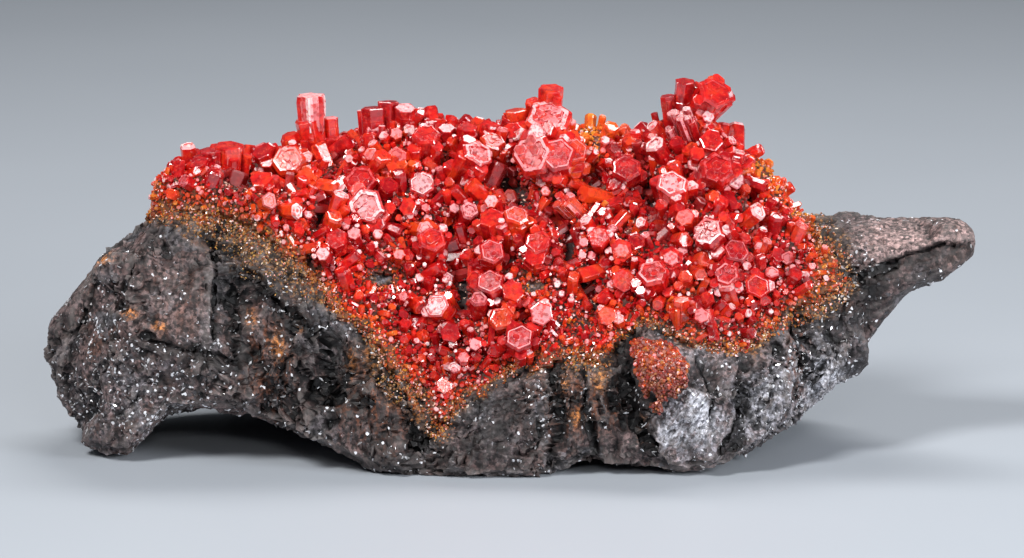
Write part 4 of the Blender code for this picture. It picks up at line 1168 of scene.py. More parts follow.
class Growth:
    """Collects closed crystals into one mesh, with the tone, the frost and painted highlight, and the
    dimness of their faces.
    """

    def __init__(self):
        self.points = []
        self.faces = {}
        self.count = 0

    def add(self, ring, rows, root, axis, roll, tone, frost_and_highlight=0.0, streaks=1.0):
        """A prism of a ring, in rows of (height, width, frost and painted highlight of the face below),
        round an axis.

        The first row closes its foot and the last its cap. Streaks is how much frost and painted
        highlight each side gets, as a share of its row's.
        """
        side, other = square_to(axis)
        turn = math.radians(roll)
        u = np.array(side * math.cos(turn) + other * math.sin(turn))
        v = np.array(other * math.cos(turn) - side * math.sin(turn))
        w = np.array(axis)
        n = len(ring)
        for z, width, _ in rows:
            at = np.array(root) + w * z
            self.points.append(at + ring[:, :1] * width * u + ring[:, 1:] * width * v)
        base = self.count + n * np.arange(len(rows))
        k = np.arange(n)
        for low, high, row in zip(base, base[1:], rows[1:]):
            self.keep(side_faces(low, high, n), tone, row[2] * streaks)
        self.keep((base[0] + k[::-1])[None, :], tone, 0.0)
        self.keep((base[-1] + k)[None, :], tone, frost_and_highlight)
        self.count += n * len(rows)

    def keep(self, faces, tone, frost_and_highlight, dim=0.0):
        """Keeps an array of faces with their looks, which are one value or one for each face."""
        columns = self.faces.setdefault(faces.shape[1], ([], [], [], []))
        columns[0].append(faces)
        for column, value in zip(columns[1:], (tone, frost_and_highlight, dim)):
            column.append(np.full(len(faces), value))

    def piece(self, name):
        """One object of everything that was added."""
        sizes = [[np.concatenate(part) for part in self.faces[size]] for size in sorted(self.faces)]
        faces, *looks = zip(*sizes)
        looks = zip(("tone", "frost_and_highlight", "dim"), (np.concatenate(look) for look in looks))
        return make_object(name, np.concatenate(self.points), faces, looks)


def barrel_rows(rng, height, radius, form, frost_and_highlight):
    """Rows of a large crystal: a stepped body, a bevel and a cap of one of the forms."""
    rows = [(-ROOT_DEPTH, radius * 0.86, 0.0)]
    z, width = 0.0, 0.94
    while z < height - 0.7 * radius:
        step = rng.uniform(0.25, 0.8) * radius
        width = min(1.02, max(0.9, width + rng.uniform(-0.04, 0.05)))
        rows.append((z, radius * width, 0.0))
        rows.append((z + step * 0.92, radius * (width + rng.uniform(-0.01, 0.015)), 0.0))
        z += step
    bevel, sunk = FORMS[form][:2]
    rows.append((height - bevel * radius, radius, 0.0))
    rows.append((height, radius * (0.9 - 0.35 * bevel), 0.35 * frost_and_highlight))
    if sunk:
        rim = sunk[0] * (0.9 - 0.35 * bevel) / 0.9
        rows.append((height + 0.01 * radius, radius * rim, min(1.0, 1.3 * frost_and_highlight)))
        rows.append((height - sunk[1] * radius, radius * (rim - 0.05), 0.1 * frost_and_highlight))
    return rows


def streaks_of(rng, ring, shares):
    """How much frost and painted highlight each side of a striated crystal gets, as a share of its row's.
    """
    return np.array([rng.choice(shares) for _ in ring])


def add_crown(growth, rng, root, axis, height, radius, tone, frost_and_highlight):
    """A striated stem that carries a wider drum."""
    roll = rng.uniform(0, 60)
    stem = hexagon(rng, 0.1, 0.05, strips=4, groove=0.10)
    streaks = streaks_of(rng, stem, (0.1, 0.4, 1.3))
    low = height * 0.58
    rows = (
        (-ROOT_DEPTH, radius * 0.7, 0.0), (low * 0.5, radius * 0.66, 0.2 * frost_and_highlight),
        (low, radius * 0.74, 0.6 * frost_and_highlight), (low + 0.2, radius * 0.66, 0.0),
    )
    growth.add(stem, rows, root, axis, roll, tone + 0.22, 0.2, streaks)
    drum = hexagon(rng, 0.12, 0.05, strips=5, groove=0.12)
    streaks = streaks_of(rng, drum, (0.1, 0.5, 1.0, 1.6))
    rows = (
        (low - 0.1, radius * 0.78, 0.0), (low + 0.4, radius * 0.95, frost_and_highlight),
        (height * 0.93, radius * 1.05, frost_and_highlight), (height, radius * 0.98, frost_and_highlight),
    )
    growth.add(drum, rows, root, axis, roll + 8, tone, frost_and_highlight, streaks)


def add_bundle(growth, rng, root, axis, height, radius, tone, frost_and_highlight):
    """Striated prisms side by side."""
    roll = rng.uniform(0, 60)
    for _ in range(BUNDLE_PRISMS):
        away = radius * math.sqrt(rng.random()) * 0.9
        out = round_axis(rng, axis)
        small = radius * rng.uniform(0.28, 0.46)
        tilt = (axis + out * (0.03 * away / radius)).normalized()
        tall = height * rng.uniform(0.62, 1.0)
        light = frost_and_highlight * rng.uniform(0.4, 1.2)
        rows = (
            (-ROOT_DEPTH, small * 0.9, 0.0), (tall * 0.45, small, 0.3 * light),
            (tall - 0.1 * small, small, light), (tall, small * 0.9, frost_and_highlight),
        )
        ring = hexagon(rng, 0.2, 0.05, strips=3, groove=0.10)
        streaks = streaks_of(rng, ring, (0.1, 0.6, 1.6))
        own = tone + rng.gauss(0, 0.05)
        growth.add(ring, rows, root + out * away, tilt, roll, own, 0.5 * frost_and_highlight, streaks)


def add_plates(growth, rng, count, roll, root, axis, height, radius, tone, frost_and_highlight):
    """Low plates on a cap, in line with the crystal."""
    side, other = square_to(axis)
    for _ in range(count):
        away, turn = radius * 0.62 * math.sqrt(rng.random()), rng.uniform(0, 2 * math.pi)
        spot = root + side * away * math.cos(turn) + other * away * math.sin(turn)
        small = radius * rng.uniform(0.10, 0.30)
        top = height - 0.03 * radius + radius * rng.uniform(-0.05, 0.08)
        plate = hexagon(rng, 0.2, 0.0)[::2]
        rows = (
            (top - 0.4 * radius, small, 0.0), (top - 0.03 * radius, small, frost_and_highlight),
            (top, small * 0.86, min(1.0, 1.3 * frost_and_highlight)),
        )
        turned = roll + rng.uniform(-4, 4)
        growth.add(plate, rows, spot, axis, turned, tone, frost_and_highlight * rng.uniform(0.3, 1))


def add_mates(growth, rng, count, roll, root, axis, height, radius, tone):
    """Thinner crystals grown against the sides of one."""
    for _ in range(count):
        out = round_axis(rng, axis)
        small = radius * rng.uniform(0.22, 0.5)
        spot = root + out * (radius * rng.uniform(0.72, 1.02))
        tilt = (axis + out * rng.uniform(-0.02, 0.2)).normalized()
        tall = height * rng.uniform(0.4, 0.96)
        mate = hexagon(rng, 0.15, 0.08)
        cap = rng.choice((0.0, 0.1, 0.2, 0.9))
        rows = (
            (-ROOT_DEPTH, small * 0.9, 0.0), (tall - 0.1 * small, small, 0.0),
            (tall, small * 0.86, cap * 0.6),
        )
        turned = roll + rng.uniform(-6, 6)
        growth.add(mate, rows, spot, tilt, turned, tone + rng.gauss(0, 0.07), cap)


def add_large_crystal(growth, rng, root, axis, height, radius, form, tone, frost_and_highlight):
    """A crystal of one of the forms, with its plates and thinner neighbours."""
    place = (root, axis, height, radius, tone)
    if form not in FORMS:
        add = {"bundle": add_bundle, "crown": add_crown}[form]
        add(growth, rng, *place, frost_and_highlight)
        return
    ring = hexagon(rng, 0.10, 0.06, strips=rng.choice((2, 3, 3)), groove=0.05)
    roll = rng.uniform(0, 60)
    rows = barrel_rows(rng, height, radius, form, frost_and_highlight)
    growth.add(ring, rows, root, axis, roll, tone, 0.7 * frost_and_highlight)
    plates, mates = FORMS[form][2:]
    add_plates(growth, rng, plates, roll, *place, frost_and_highlight)
    add_mates(growth, rng, mates, roll, *place)


def tone_at(rng, spot):
    """The colour value of a crystal at a point: its place's share of orange, varied."""
    point = np.array([tuple(spot)])
    margin = crust_margin(point)
    share = float(orange_share(point, margin)[0])
    return min(1, max(0, share * LARGE_ORANGE + rng.gauss(*LARGE_TONE)))


def solid_tree(obj):
    """The faces of a node's shape, to be asked where rays meet them."""
    mesh = obj.data
    return BVHTree.FromPolygons([v.co for v in mesh.vertices], [p.vertices for p in mesh.polygons])


def large_crystal(growth, tree, number, across, up, radius, height, right, lean_up, form):
    """Adds one of the crystals of the front, and returns its root, axis, height and radius."""
    rng = random.Random(number)
    facing = leaning(right, lean_up)
    root, axis, height = stand(tree, across, up, height, facing)
    beside = seen_from_front(tree, front_point(across, up) - facing * height) is None
    cap = root + axis * height - TOWARD_FRONT * SET_BACK.get(number, 0.0)
    tone = tone_at(rng, cap)
    frost_and_highlight = CAP_FROST_AND_HIGHLIGHT.get(number, rng.uniform(*FROST_AND_HIGHLIGHT[form]))
    if beside and lean_up < STEEP:
        # A stout prism up from the rock carries the one that faces the front.
        low = cap - facing * radius * 1.1 - axis * 0.2 * radius
        stem = low - root
        place = (root, stem.normalized(), stem.length, radius * 0.85)
        add_large_crystal(growth, rng, *place, "plain", tone, 0.0)
        root, axis, height = cap - facing * 1.5 * radius, facing, 1.5 * radius
    elif number in SET_BACK:
        root = below_skin(tree, root - TOWARD_FRONT * SET_BACK[number])
        axis, height = (cap - root).normalized(), (cap - root).length
    place = (root, axis, height, radius)
    add_large_crystal(growth, rng, *place, form, tone, frost_and_highlight)
    return place


def smaller_crystal(growth, tree, number, across, up, radius, right, lean_up):
    """Adds one of the smaller crystals, and returns the same."""
    rng = random.Random(SMALLER_SEED + number)
    root, axis, height = stand(tree, across, up, SMALL_HEIGHT, leaning(right, lean_up))
    tone = tone_at(rng, root + axis * height)
    place = (root, axis, height, radius)
    add_large_crystal(growth, rng, *place, "plain", tone, rng.uniform(0.5, 1))
    return place


def large_crystals(tree):
    """The crystals of the front that have a place of their own, in two pieces, and their places."""
    growths, placed = (Growth(), Growth()), []
    for add, rows in ((large_crystal, CRYSTALS), (smaller_crystal, SMALL_CRYSTALS)):
        for number, row in enumerate(rows):
            placed.append(add(growths[row[0] > 0], tree, number, *row))
    return [g.piece(f"large_crystals_{side}") for g, side in zip(growths, ("left", "right"))], placed


def sample_skin(rng, points, quads, count):
    """Points on a skin of quads, spread by area, with their normals."""
    a, b, c, d = (points[quads[:, k]] for k in range(4))
    flat = np.cross(c - a, d - b)
    size = np.linalg.norm(flat, axis=1)
    pick = rng.choice(len(quads), count, p=size / size.sum())
    s, t = rng.random((2, count, 1))
    low = a[pick] * (1 - s) + b[pick] * s
    high = d[pick] * (1 - s) + c[pick] * s
    return low * (1 - t) + high * t, flat[pick] / size[pick][:, None]


def spaced(points, radii, taken, clear):
    """Which points keep clear of each other and of the ones taken, first come first served."""
    grid, keep = {}, np.zeros(len(points), bool)
    cell = 2 * clear * max(radii.max(), 0.05)
    for spot, radius in taken:
        grid.setdefault(tuple(np.floor(np.array(spot) / cell).astype(int)), []).append((spot, radius))

    def is_free(spot, radius, base):
        for step in itertools.product((-1, 0, 1), repeat=3):
            for other, wide in grid.get((base[0] + step[0], base[1] + step[1], base[2] + step[2]), ()):
                if ((spot - other) ** 2).sum() < ((radius + wide) * clear) ** 2:
                    return False
        return True

    for i, (spot, radius) in enumerate(zip(points, radii)):
        base = tuple(np.floor(spot / cell).astype(int))
        if is_free(spot, radius, base):
            keep[i] = True
            grid.setdefault(base, []).append((spot, radius))
    return keep


def only(which, *arrays):
    """The chosen rows of each array."""
    return [array[which] for array in arrays]


def prism_template(rng, rows, chamfer):
    """Points, faces and cap flags of one small crystal of radius and height 1."""
    ring = hexagon(rng, 0.16, chamfer) if chamfer else hexagon(rng, 0.16, 0.0)[::2]
    n = len(ring)
    points = np.concatenate(
        [np.column_stack([ring * width, np.full(n, z)]) for z, width, _ in rows]
    )
    k = np.arange(n)
    quads = [side_faces(n * i, n * (i + 1), n) for i in range(len(rows) - 1)]
    frost_and_highlight = np.repeat([row[2] for row in rows[1:]], n)
    caps = np.stack([k[::-1], n * (len(rows) - 1) + k])
    return points, np.concatenate(quads), frost_and_highlight, caps


def draws(seeds):
    """The two sources of random draws of a piece: for its places, and for the shapes of crystals."""
    return np.random.default_rng(seeds[0]), random.Random(seeds[1])


def scatter_piece(name, rng, templates, spots, axes, radii, heights, tones, frosts_and_highlights, dims):
    """One mesh of many small crystals, each a turned and scaled template."""
    turns = rng.uniform(0, 2 * math.pi, len(spots))[:, None]
    helper = np.where(np.abs(axes[:, :1]) < 0.8, [[1.0, 0, 0]], [[0, 1.0, 0]])
    side = unit(np.cross(axes, helper))
    other = np.cross(axes, side)
    u = side * np.cos(turns) + other * np.sin(turns)
    v = other * np.cos(turns) - side * np.sin(turns)
    kinds = rng.integers(0, len(templates), len(spots))
    growth = Growth()
    for kind, (points, quads, quad_frost_and_highlight, caps) in enumerate(templates):
        mine = kinds == kind
        at, wide, tall = only(mine, spots, radii, heights)
        wide, tall = wide[:, None, None], tall[:, None, None]
        placed = (
            at[:, None, :]
            + points[:, :1] * wide * u[mine][:, None, :]
            + points[:, 1:2] * wide * v[mine][:, None, :]
            + points[:, 2:] * tall * axes[mine][:, None, :]
        )
        growth.points.append(placed.reshape(-1, 3))
        starts = growth.count + len(points) * np.arange(len(at))
        growth.count += len(points) * len(at)
        tone, frost_and_highlight, dim = only(mine, tones, frosts_and_highlights, dims)
        for faces, share in ((quads, quad_frost_and_highlight), (caps, np.array([0.0, 1.0]))):
            made = (starts[:, None, None] + faces[None]).reshape(-1, faces.shape[1])
            own = (frost_and_highlight[:, None] * share[None, :]).reshape(-1)
            growth.keep(made, np.repeat(tone, len(faces)), own, np.repeat(dim, len(faces)))
    return growth.piece(name)


# Rows of the small crystals, as in Growth.add, for a radius and a height of 1.
MEDIUM_ROWS = (
    (-1.0, 0.9, 0.0), (0.55, 0.98, 0.0), (0.86, 1.0, 0.0), (1.0, 0.86, 0.8), (0.985, 0.62, 1.0),
    (0.94, 0.56, 0.3),
)
SMALL_ROWS = ((-0.6, 0.95, 0.0), (0.88, 1.0, 0.0), (1.0, 0.82, 0.7))
DRUSE_ROWS = ((-1.0, 0.9, 0.0), (1.0, 0.92, 0.0))
# The crystals between the large ones, by size: rows and chamfer of the prisms, the share with pale
# caps of frost and painted highlight, how far they turn orange, and how they find their places: how
# many are tried, least and greatest radius, length as a share of the radius, how much they lean
# about, the margins between which they become common, how clear of each other they stand, and how
# far they keep out of the brown bands and of the hollows.
FILL = (
    ("medium_crystals", MEDIUM_ROWS, 0.07, 0.22, 0.3, {
        "tries": 3000, "wide": (0.6, 1.15), "tall": (1.3, 2.7), "spread": 0.42, "full": (1.0, 3.6),
        "clear": 0.9, "shy": (1.0, 1),
    }),
    ("small_crystals", SMALL_ROWS, 0.0, 0.38, 0.5, {
        "tries": 24000, "wide": (0.23, 0.62), "tall": (1.4, 3.4), "spread": 0.5, "full": (0.1, 1.2),
        "clear": 0.80, "shy": (0.5, 1),
    }),
    ("druse", DRUSE_ROWS, 0.0, 0.3, 0.75, {
        "tries": 23000, "wide": (0.12, 0.29), "tall": (1.0, 2.4), "spread": 0.5, "full": (-0.4, 0.0),
        "clear": 0.84, "shy": (0.0, 0),
    }),
)
# How dark the crystals are low on the front and at its right: the strength, and the heights or
# places across between which it sets in.
LOW_DIM = (0.28, (17.0, 8.0))
RIGHT_DIM = (0.22, (12.0, 20.0), (28.0, 22.0))


def fill_dims(rng, spots, hollow, brown):
    """How dark the crystals between the large ones are: painted shade in the hollows, darker low on the
    front and at its right, and at random in the brown bands.
    """
    dims = 0.75 * hollow * (rng.random(len(spots)) < 0.85)
    across, up = front_places(spots)
    strength, heights = LOW_DIM
    dims = np.maximum(dims, strength * smooth_step(*heights, up))
    strength, places, heights = RIGHT_DIM
    right = strength * smooth_step(*places, across) * smooth_step(*heights, up)
    dims = np.maximum(dims, right)
    return np.maximum(dims, brown * rng.uniform(0.0, 0.75, len(spots)))


def fill_places(rng, skin, taken, tries, wide, tall, spread, full, clear, shy):
    """Places, axes, sizes, margins and hollowness of the crystals of one size that find room."""
    spots, normals = sample_skin(rng, *skin, tries)
    margin = ragged(crust_margin(spots), spots)
    growth = 0.55 + 0.45 * smooth_step(0.3, 4.5, margin)
    radii = (wide[0] + (wide[1] - wide[0]) * rng.random(tries) ** 1.7) * growth
    radii = np.maximum(radii, wide[0] * 0.75)
    heights = radii * rng.uniform(*tall, tries)
    axes = tilted(rng, normals, spread)
    hollow = np.maximum(hollowness(spots), hollowness(spots + axes * heights[:, None]))
    crowded = np.maximum(hollow, 0.95 * smooth_step(0.25, 0.6, granular(spots)))
    crowded = np.maximum(crowded, shy[0] * browning(spots))
    fit = rng.random(tries) < smooth_step(*full, margin) * (1 - crowded * shy[1])
    found = only(fit, spots, axes, radii, heights, margin, hollow)
    keep = spaced(found[0], found[2], taken, clear)
    return only(keep, *found)


def fill_pieces(skin, placed):
    """The medium and small crystals and the druse that cover the crust between the large ones."""
    rng, shapes = draws(FILL_SEEDS)
    taken = [(np.array(root + axis * h * 0.3), r * 0.8) for root, axis, h, r in placed]
    pieces = []
    for name, rows, chamfer, pale, reddest, places in FILL:
        templates = [prism_template(shapes, rows, chamfer) for _ in range(FILL_SHAPES)]
        spots, axes, radii, heights, margin, hollow = fill_places(rng, skin, taken, **places)
        taken += list(zip(spots, radii * 0.9))
        count = len(spots)
        grainy, brown = granular(spots), browning(spots)
        tones = orange_share(spots, margin) * reddest + rng.normal(*FILL_TONE, count)
        tones = np.maximum(tones, grainy * rng.uniform(*GRAINY_TONE, count))
        tones = np.maximum(tones, brown * rng.uniform(*BROWN_TONE, count))
        dims = fill_dims(rng, spots, hollow, brown)
        frosts_and_highlights = np.where(rng.random(count) < pale, rng.uniform(*PALE_FROST_AND_HIGHLIGHT, count), CLEAR_FROST_AND_HIGHLIGHT)
        frosts_and_highlights = np.where(hollow > 0.3, 0, frosts_and_highlights)
        deep = (rng.random(count) < DEEP_SHARE) * (grainy < 0.4) * (brown < 0.4)
        tones = np.clip(tones - DEEP_RED * deep, 0, 1)
        look = (tones, frosts_and_highlights, dims)
        pieces.append(scatter_piece(name, rng, templates, spots, axes, radii, heights, *look))
    return pieces


def pick_frost_and_highlight(rng, count, share, strengths):
    """Which of the crystals are bright, and how much frost and painted highlight each one's cap gets."""
    bright = rng.random(count) < share
    return bright, np.where(bright, rng.uniform(*strengths, count), 0.0)


def margin_druse(rock_points, rock_quads):
    """Tiny golden and brown crystals scattered on the rock beyond the crust's edge."""
    rng, shapes = draws(MARGIN_SEEDS)
    margin = crust_margin(rock_points)
    near = (margin > -druse_reach(rock_points) * 1.2) & (margin < 0.9) & (rock_points[:, 1] < MARGIN_Y)
    spots, normals = sample_skin(rng, rock_points, quads_within(rock_quads, near), MARGIN_TRIES)
    margin = crust_margin(spots)
    chance = smooth_step(-1.0, 0.25, margin / druse_reach(spots)) ** 1.5
    chance *= 0.35 + 0.65 * smooth_step(-0.2, 0.3, value_noise(spots, 1.8, 64))
    spots, normals, margin = only(rng.random(len(spots)) < chance, spots, normals, margin)
    count = len(spots)
    far = np.clip(-margin / 2.5, 0, 1)
    radii = rng.uniform(0.06, 0.17, count) * (1 - 0.3 * far)
    heights = radii * rng.uniform(0.8, 1.8, count)
    tones = np.clip(0.5 + 0.4 * far + rng.normal(0, 0.15, count), 0, 1)
    bright, frosts_and_highlights = pick_frost_and_highlight(rng, count, 0.16, (0.4, 1.2))
    dims = np.where(bright, 0.0, np.clip(0.45 + 0.5 * far, 0, 1) * rng.uniform(0.6, 1.0, count))
    place = (spots, tilted(rng, normals, 0.6), radii, heights)
    templates = [prism_template(shapes, DRUSE_ROWS, 0.0) for _ in range(DRUSE_SHAPES)]
    return scatter_piece("margin_druse", rng, templates, *place, tones, frosts_and_highlights, dims)


def patch_druse(skin):
    """The small orange crystals of the patch on the front."""
    rng, shapes = draws(PATCH_SEEDS)
    spots, normals = sample_skin(rng, *skin, PATCH_TRIES)
    _, up = front_places(spots)
    low = smooth_step(12.6, 8.0, up)
    spots, normals, low = only(rng.random(len(spots)) > 0.55 * low, spots, normals, low)
    count = len(spots)
    radii = rng.uniform(0.10, 0.26, count) * (1 - 0.35 * low)
    heights = radii * rng.uniform(1.2, 2.6, count)
    tones = np.clip(0.58 + 0.15 * low + rng.normal(0, 0.12, count), 0, 1)
    bright, frosts_and_highlights = pick_frost_and_highlight(rng, count, 0.06, (0.5, 1.3))
    dims = np.where(bright, 0.0, np.clip(rng.uniform(0.25, 1.05, count) + 0.4 * low, 0, 0.95))
    place = (spots, tilted(rng, normals, 0.5), radii, heights)
    templates = [prism_template(shapes, SMALL_ROWS, 0.0) for _ in range(DRUSE_SHAPES)]
    return scatter_piece("patch_druse", rng, templates, *place, tones, frosts_and_highlights, dims)


def flake_template(rng):
    """A thin four-sided flake of radius and thickness 1, longer than it is wide."""
    ring = []
    for k in range(4):
        turn = math.radians(90 * k + rng.uniform(-18, 18))
        ring.append((math.cos(turn) * rng.uniform(0.8, 1.3), 0.42 * math.sin(turn)))
    points = np.concatenate([np.column_stack([ring, np.full(4, z)]) for z in (-1.0, 1.0)])
    k = np.arange(4)
    return points, side_faces(0, 4, 4), np.zeros(4), np.stack([k[::-1], 4 + k])


def rock_flakes(rock_points, rock_quads):
    """Small bright cleavage flakes on the bare rock."""
    rng, shapes = draws(FLAKE_SEEDS)
    templates = [flake_template(shapes) for _ in range(FLAKE_SHAPES)]
    bare = (crust_margin(rock_points) < 0) & (rock_points[:, 2] > 0.3)
    spots, normals = sample_skin(rng, rock_points, quads_within(rock_quads, bare), FLAKE_TRIES)
    spots, normals = only(rng.random(len(spots)) < 0.95 * glint_share(spots), spots, normals)
    radii = FLAKE_LEAST + FLAKE_MORE * rng.random(len(spots)) ** FLAKE_RARE
    axes = tilted(rng, normals, 0.42)
    none = np.zeros(len(spots))
    place = (spots, axes, radii, radii * FLAKE_THICKNESS)
    return scatter_piece("rock_flakes", rng, templates, *place, none, none, none)


# ---------------------------------------------------------------- materials


class Shader:
    """A material and short ways to add nodes to it."""

    def __init__(self, name):
        self.material = bpy.data.materials.new(name)
        self.material.use_nodes = True
        self.nodes = self.material.node_tree.nodes
        self.links = self.material.node_tree.links
        self.surface = self.nodes["Principled BSDF"]
        self.place = self.nodes.new("ShaderNodeTexCoord").outputs["Object"]
        self.colour = None

    def put(self, socket, value):
        """Links a socket to a value, or sets its own value."""
        if isinstance(value, bpy.types.NodeSocket):
            self.links.new(value, socket)
        elif isinstance(value, tuple) and len(value) == 3 and socket.type == "RGBA":
            socket.default_value = (*value, 1)
        else:
            socket.default_value = value

    def node(self, kind, output=0, settings=(), values=(), **inputs):
        """An output of a new node.

        Its inputs are given in turn as values, or by name, with _ for each space.
        """
        made = self.nodes.new(kind)
        for key, value in dict(settings).items():
            setattr(made, key, value)
        for socket, value in zip(made.inputs, values):
            self.put(socket, value)
        for key, value in inputs.items():
            self.put(made.inputs[key.replace("_", " ")], value)
        return made.outputs[output]

    def noise(self, size, detail=3.0, roughness=0.55, distortion=0.0, stretch=(1, 1, 1), lean=0):
        """Noise from 0 to 1 with lumps of a size in millimetres, stretched, and turned about Y."""
        spot = self.place
        if stretch != (1, 1, 1):
            spot = self.node(
                "ShaderNodeMapping", 0, {"vector_type": "TEXTURE"}, Vector=self.place,
                Scale=stretch, Rotation=(0, math.radians(lean), 0),
            )
        return self.node(
            "ShaderNodeTexNoise", Vector=spot, Scale=1 / (size * MM), Detail=detail,
            Roughness=roughness, Distortion=distortion,
        )

    def cells(self, size, output="Color"):
        return self.node("ShaderNodeTexVoronoi", output, Vector=self.place, Scale=1 / (size * MM))

    def warped_cells(self, size, warp):
        """Cells with wandering edges; both lengths are in millimetres."""
        bends = self.node("ShaderNodeTexNoise", "Color", Vector=self.place, Scale=1 / (0.6 * size * MM))
        bends = self.vector("SUBTRACT", bends, (0.5, 0.5, 0.5))
        spot = self.vector("ADD", self.place, self.vector("SCALE", bends, Scale=2 * warp * MM))
        return self.node("ShaderNodeTexVoronoi", "Color", Vector=spot, Scale=1 / (size * MM))

    def attribute(self, name):
        return self.node("ShaderNodeAttribute", "Fac", {"attribute_name": name})

    def math(self, operation, a, b, clamp=False):
        settings = {"operation": operation, "use_clamp": clamp}
        return self.node("ShaderNodeMath", 0, settings, (a, b))

    def times(self, a, b):
        return self.math("MULTIPLY", a, b)

    def band(self, value, low, high, to_low=0.0, to_high=1.0):
        """The value's place between low and high, as a smooth share."""
        return self.node(
            "ShaderNodeMapRange", 0, {"interpolation_type": "SMOOTHSTEP"}, Value=value, From_Min=low,
            From_Max=high, To_Min=to_low, To_Max=to_high,
        )

    def mix(self, share, a, b, blend="MIX"):
        made = self.nodes.new("ShaderNodeMix")
        made.data_type = "RGBA"
        made.blend_type = blend
        self.put(made.inputs["Factor"], share)
        self.put(made.inputs[6], a)
        self.put(made.inputs[7], b)
        return made.outputs[2]

    def cover(self, share, over, blend="MIX"):
        """Lays one more colour over the material's colour, as strongly as share says."""
        self.colour = self.mix(share, self.colour, over, blend)

    def vector(self, operation, *values, **more):
        return self.node("ShaderNodeVectorMath", 0, {"operation": operation}, values, **more)

    def channel(self, colour, number):
        return self.node("ShaderNodeSeparateColor", number, (), (colour,))

    def glitter(self, size, tilt, share):
        """Cells that shine, as a mask, and a normal that leans a random way in each of them."""
        colour = self.cells(size)
        chosen = self.math("LESS_THAN", self.channel(colour, 2), share)
        lean = self.vector("SUBTRACT", colour, (0.5, 0.5, 0.5))
        lean = self.vector("SCALE", lean, Scale=self.times(chosen, tilt))
        normal = self.node("ShaderNodeNewGeometry", "Normal")
        return chosen, self.vector("NORMALIZE", self.vector("ADD", lean, normal))

    def bump(self, height, strength, distance, normal=None):
        more = {"Normal": normal} if normal else {}
        return self.node(
            "ShaderNodeBump", Strength=strength, Distance=distance * MM, Height=height, **more
        )

    def finish(self, **values):
        """Sets inputs of the surface by name, and returns the material."""
        for key, value in values.items():
            self.put(self.surface.inputs[key.replace("_", " ")], value)
        return self.material


ROCK_DARK, ROCK_LIGHT = (0.034, 0.023, 0.023), (0.088, 0.052, 0.048)
# Broken faces, by channel of their cells: the band of the channel, the strength and the colour.
ROCK_FACES = (
    (0.55, 0.75, 0.75, (0.130, 0.088, 0.086)),
    (0.60, 0.75, 0.8, (0.016, 0.011, 0.012)),
    (0.66, 0.80, 0.6, (0.088, 0.090, 0.100)),
)
# Lumps of middling size: the band of the noise, the strength and the colour.
ROCK_LUMPS = (
    (0.54, 0.70, 0.7, (0.150, 0.104, 0.098)),
    (0.46, 0.35, 0.8, (0.010, 0.007, 0.008)),
)
PALE_ROCK = (0.28, 0.185, 0.172)
# The pale silver of the streaks is a painted sheen.
COOL_SHADE, COOL_ROCK, SHEEN_HIGHLIGHT = (0.030, 0.027, 0.028), (0.235, 0.228, 0.255), (0.58, 0.58, 0.63)
RUST_RED, RUST_ORANGE, STRAY_RUST = (0.16, 0.045, 0.014), (0.42, 0.15, 0.035), (0.085, 0.032, 0.017)
GOLD_GROUND, GOLD_GRAINS = (0.060, 0.030, 0.014), (0.38, 0.17, 0.045)
# The pale of worn edges, with a painted highlight, and the crust's red-brown below it.
LIT_WORN_EDGE, UNDER_CRUST = (0.23, 0.20, 0.19), (0.045, 0.008, 0.004)
# Painted shade of recesses, hollows and bands, and of cracks.
DEEP_SHADE, CRACK_SHADE = (0.006, 0.004, 0.004), (0.003, 0.0025, 0.003)
FLAKE_SHINE, GREY_GLINT, GOLD_GLINT = (0.25, 0.24, 0.25), (0.82, 0.82, 0.86), (0.85, 0.48, 0.20)


def cover_with_breaks(s, middling):
    """The dark and light of the broken faces and lumps."""
    facet = s.warped_cells(3.0, 1.0)
    for number, (low, high, strength, colour) in enumerate(ROCK_FACES):
        s.cover(s.band(s.channel(facet, number), low, high, 0.0, strength), colour)
    for low, high, strength, colour in ROCK_LUMPS:
        s.cover(s.band(middling, low, high, 0.0, strength), colour)
    streaks = s.noise(0.5, 4.0, 0.6, 0.3, (1, 1, 7))
    pale = s.times(s.attribute("pale"), s.band(streaks, 0.34, 0.62, 0.2, 1.0))
    s.cover(s.times(pale, s.band(middling, 0.36, 0.56, 0.4, 1.0)), PALE_ROCK)


def cover_with_cool_and_sheen(s):
    """The grey-blue areas, and the painted sheen on the strongest of them, which is returned."""
    cool = s.attribute("cool")
    slanted = s.band(s.noise(0.45, 4.0, 0.6, 0.2, (1, 1, 8), 50), 0.44, 0.60, 0.0, 0.7)
    s.cover(s.times(cool, slanted), COOL_SHADE)
    s.cover(s.times(cool, s.band(s.noise(0.8, 4.0, 0.65), 0.40, 0.62, 0.1, 0.9)), COOL_ROCK)
    streaky = s.noise(0.4, 5.0, 0.75, 0.3, (1, 1, 5), 32)
    painted_sheen = s.times(s.band(cool, 0.8, 1.6), s.band(streaky, 0.43, 0.58, 0.10, 1.0))
    # A painted sheen: pale silver streaks on the strongest grey-blue areas.
    s.cover(painted_sheen, SHEEN_HIGHLIGHT)
    return painted_sheen


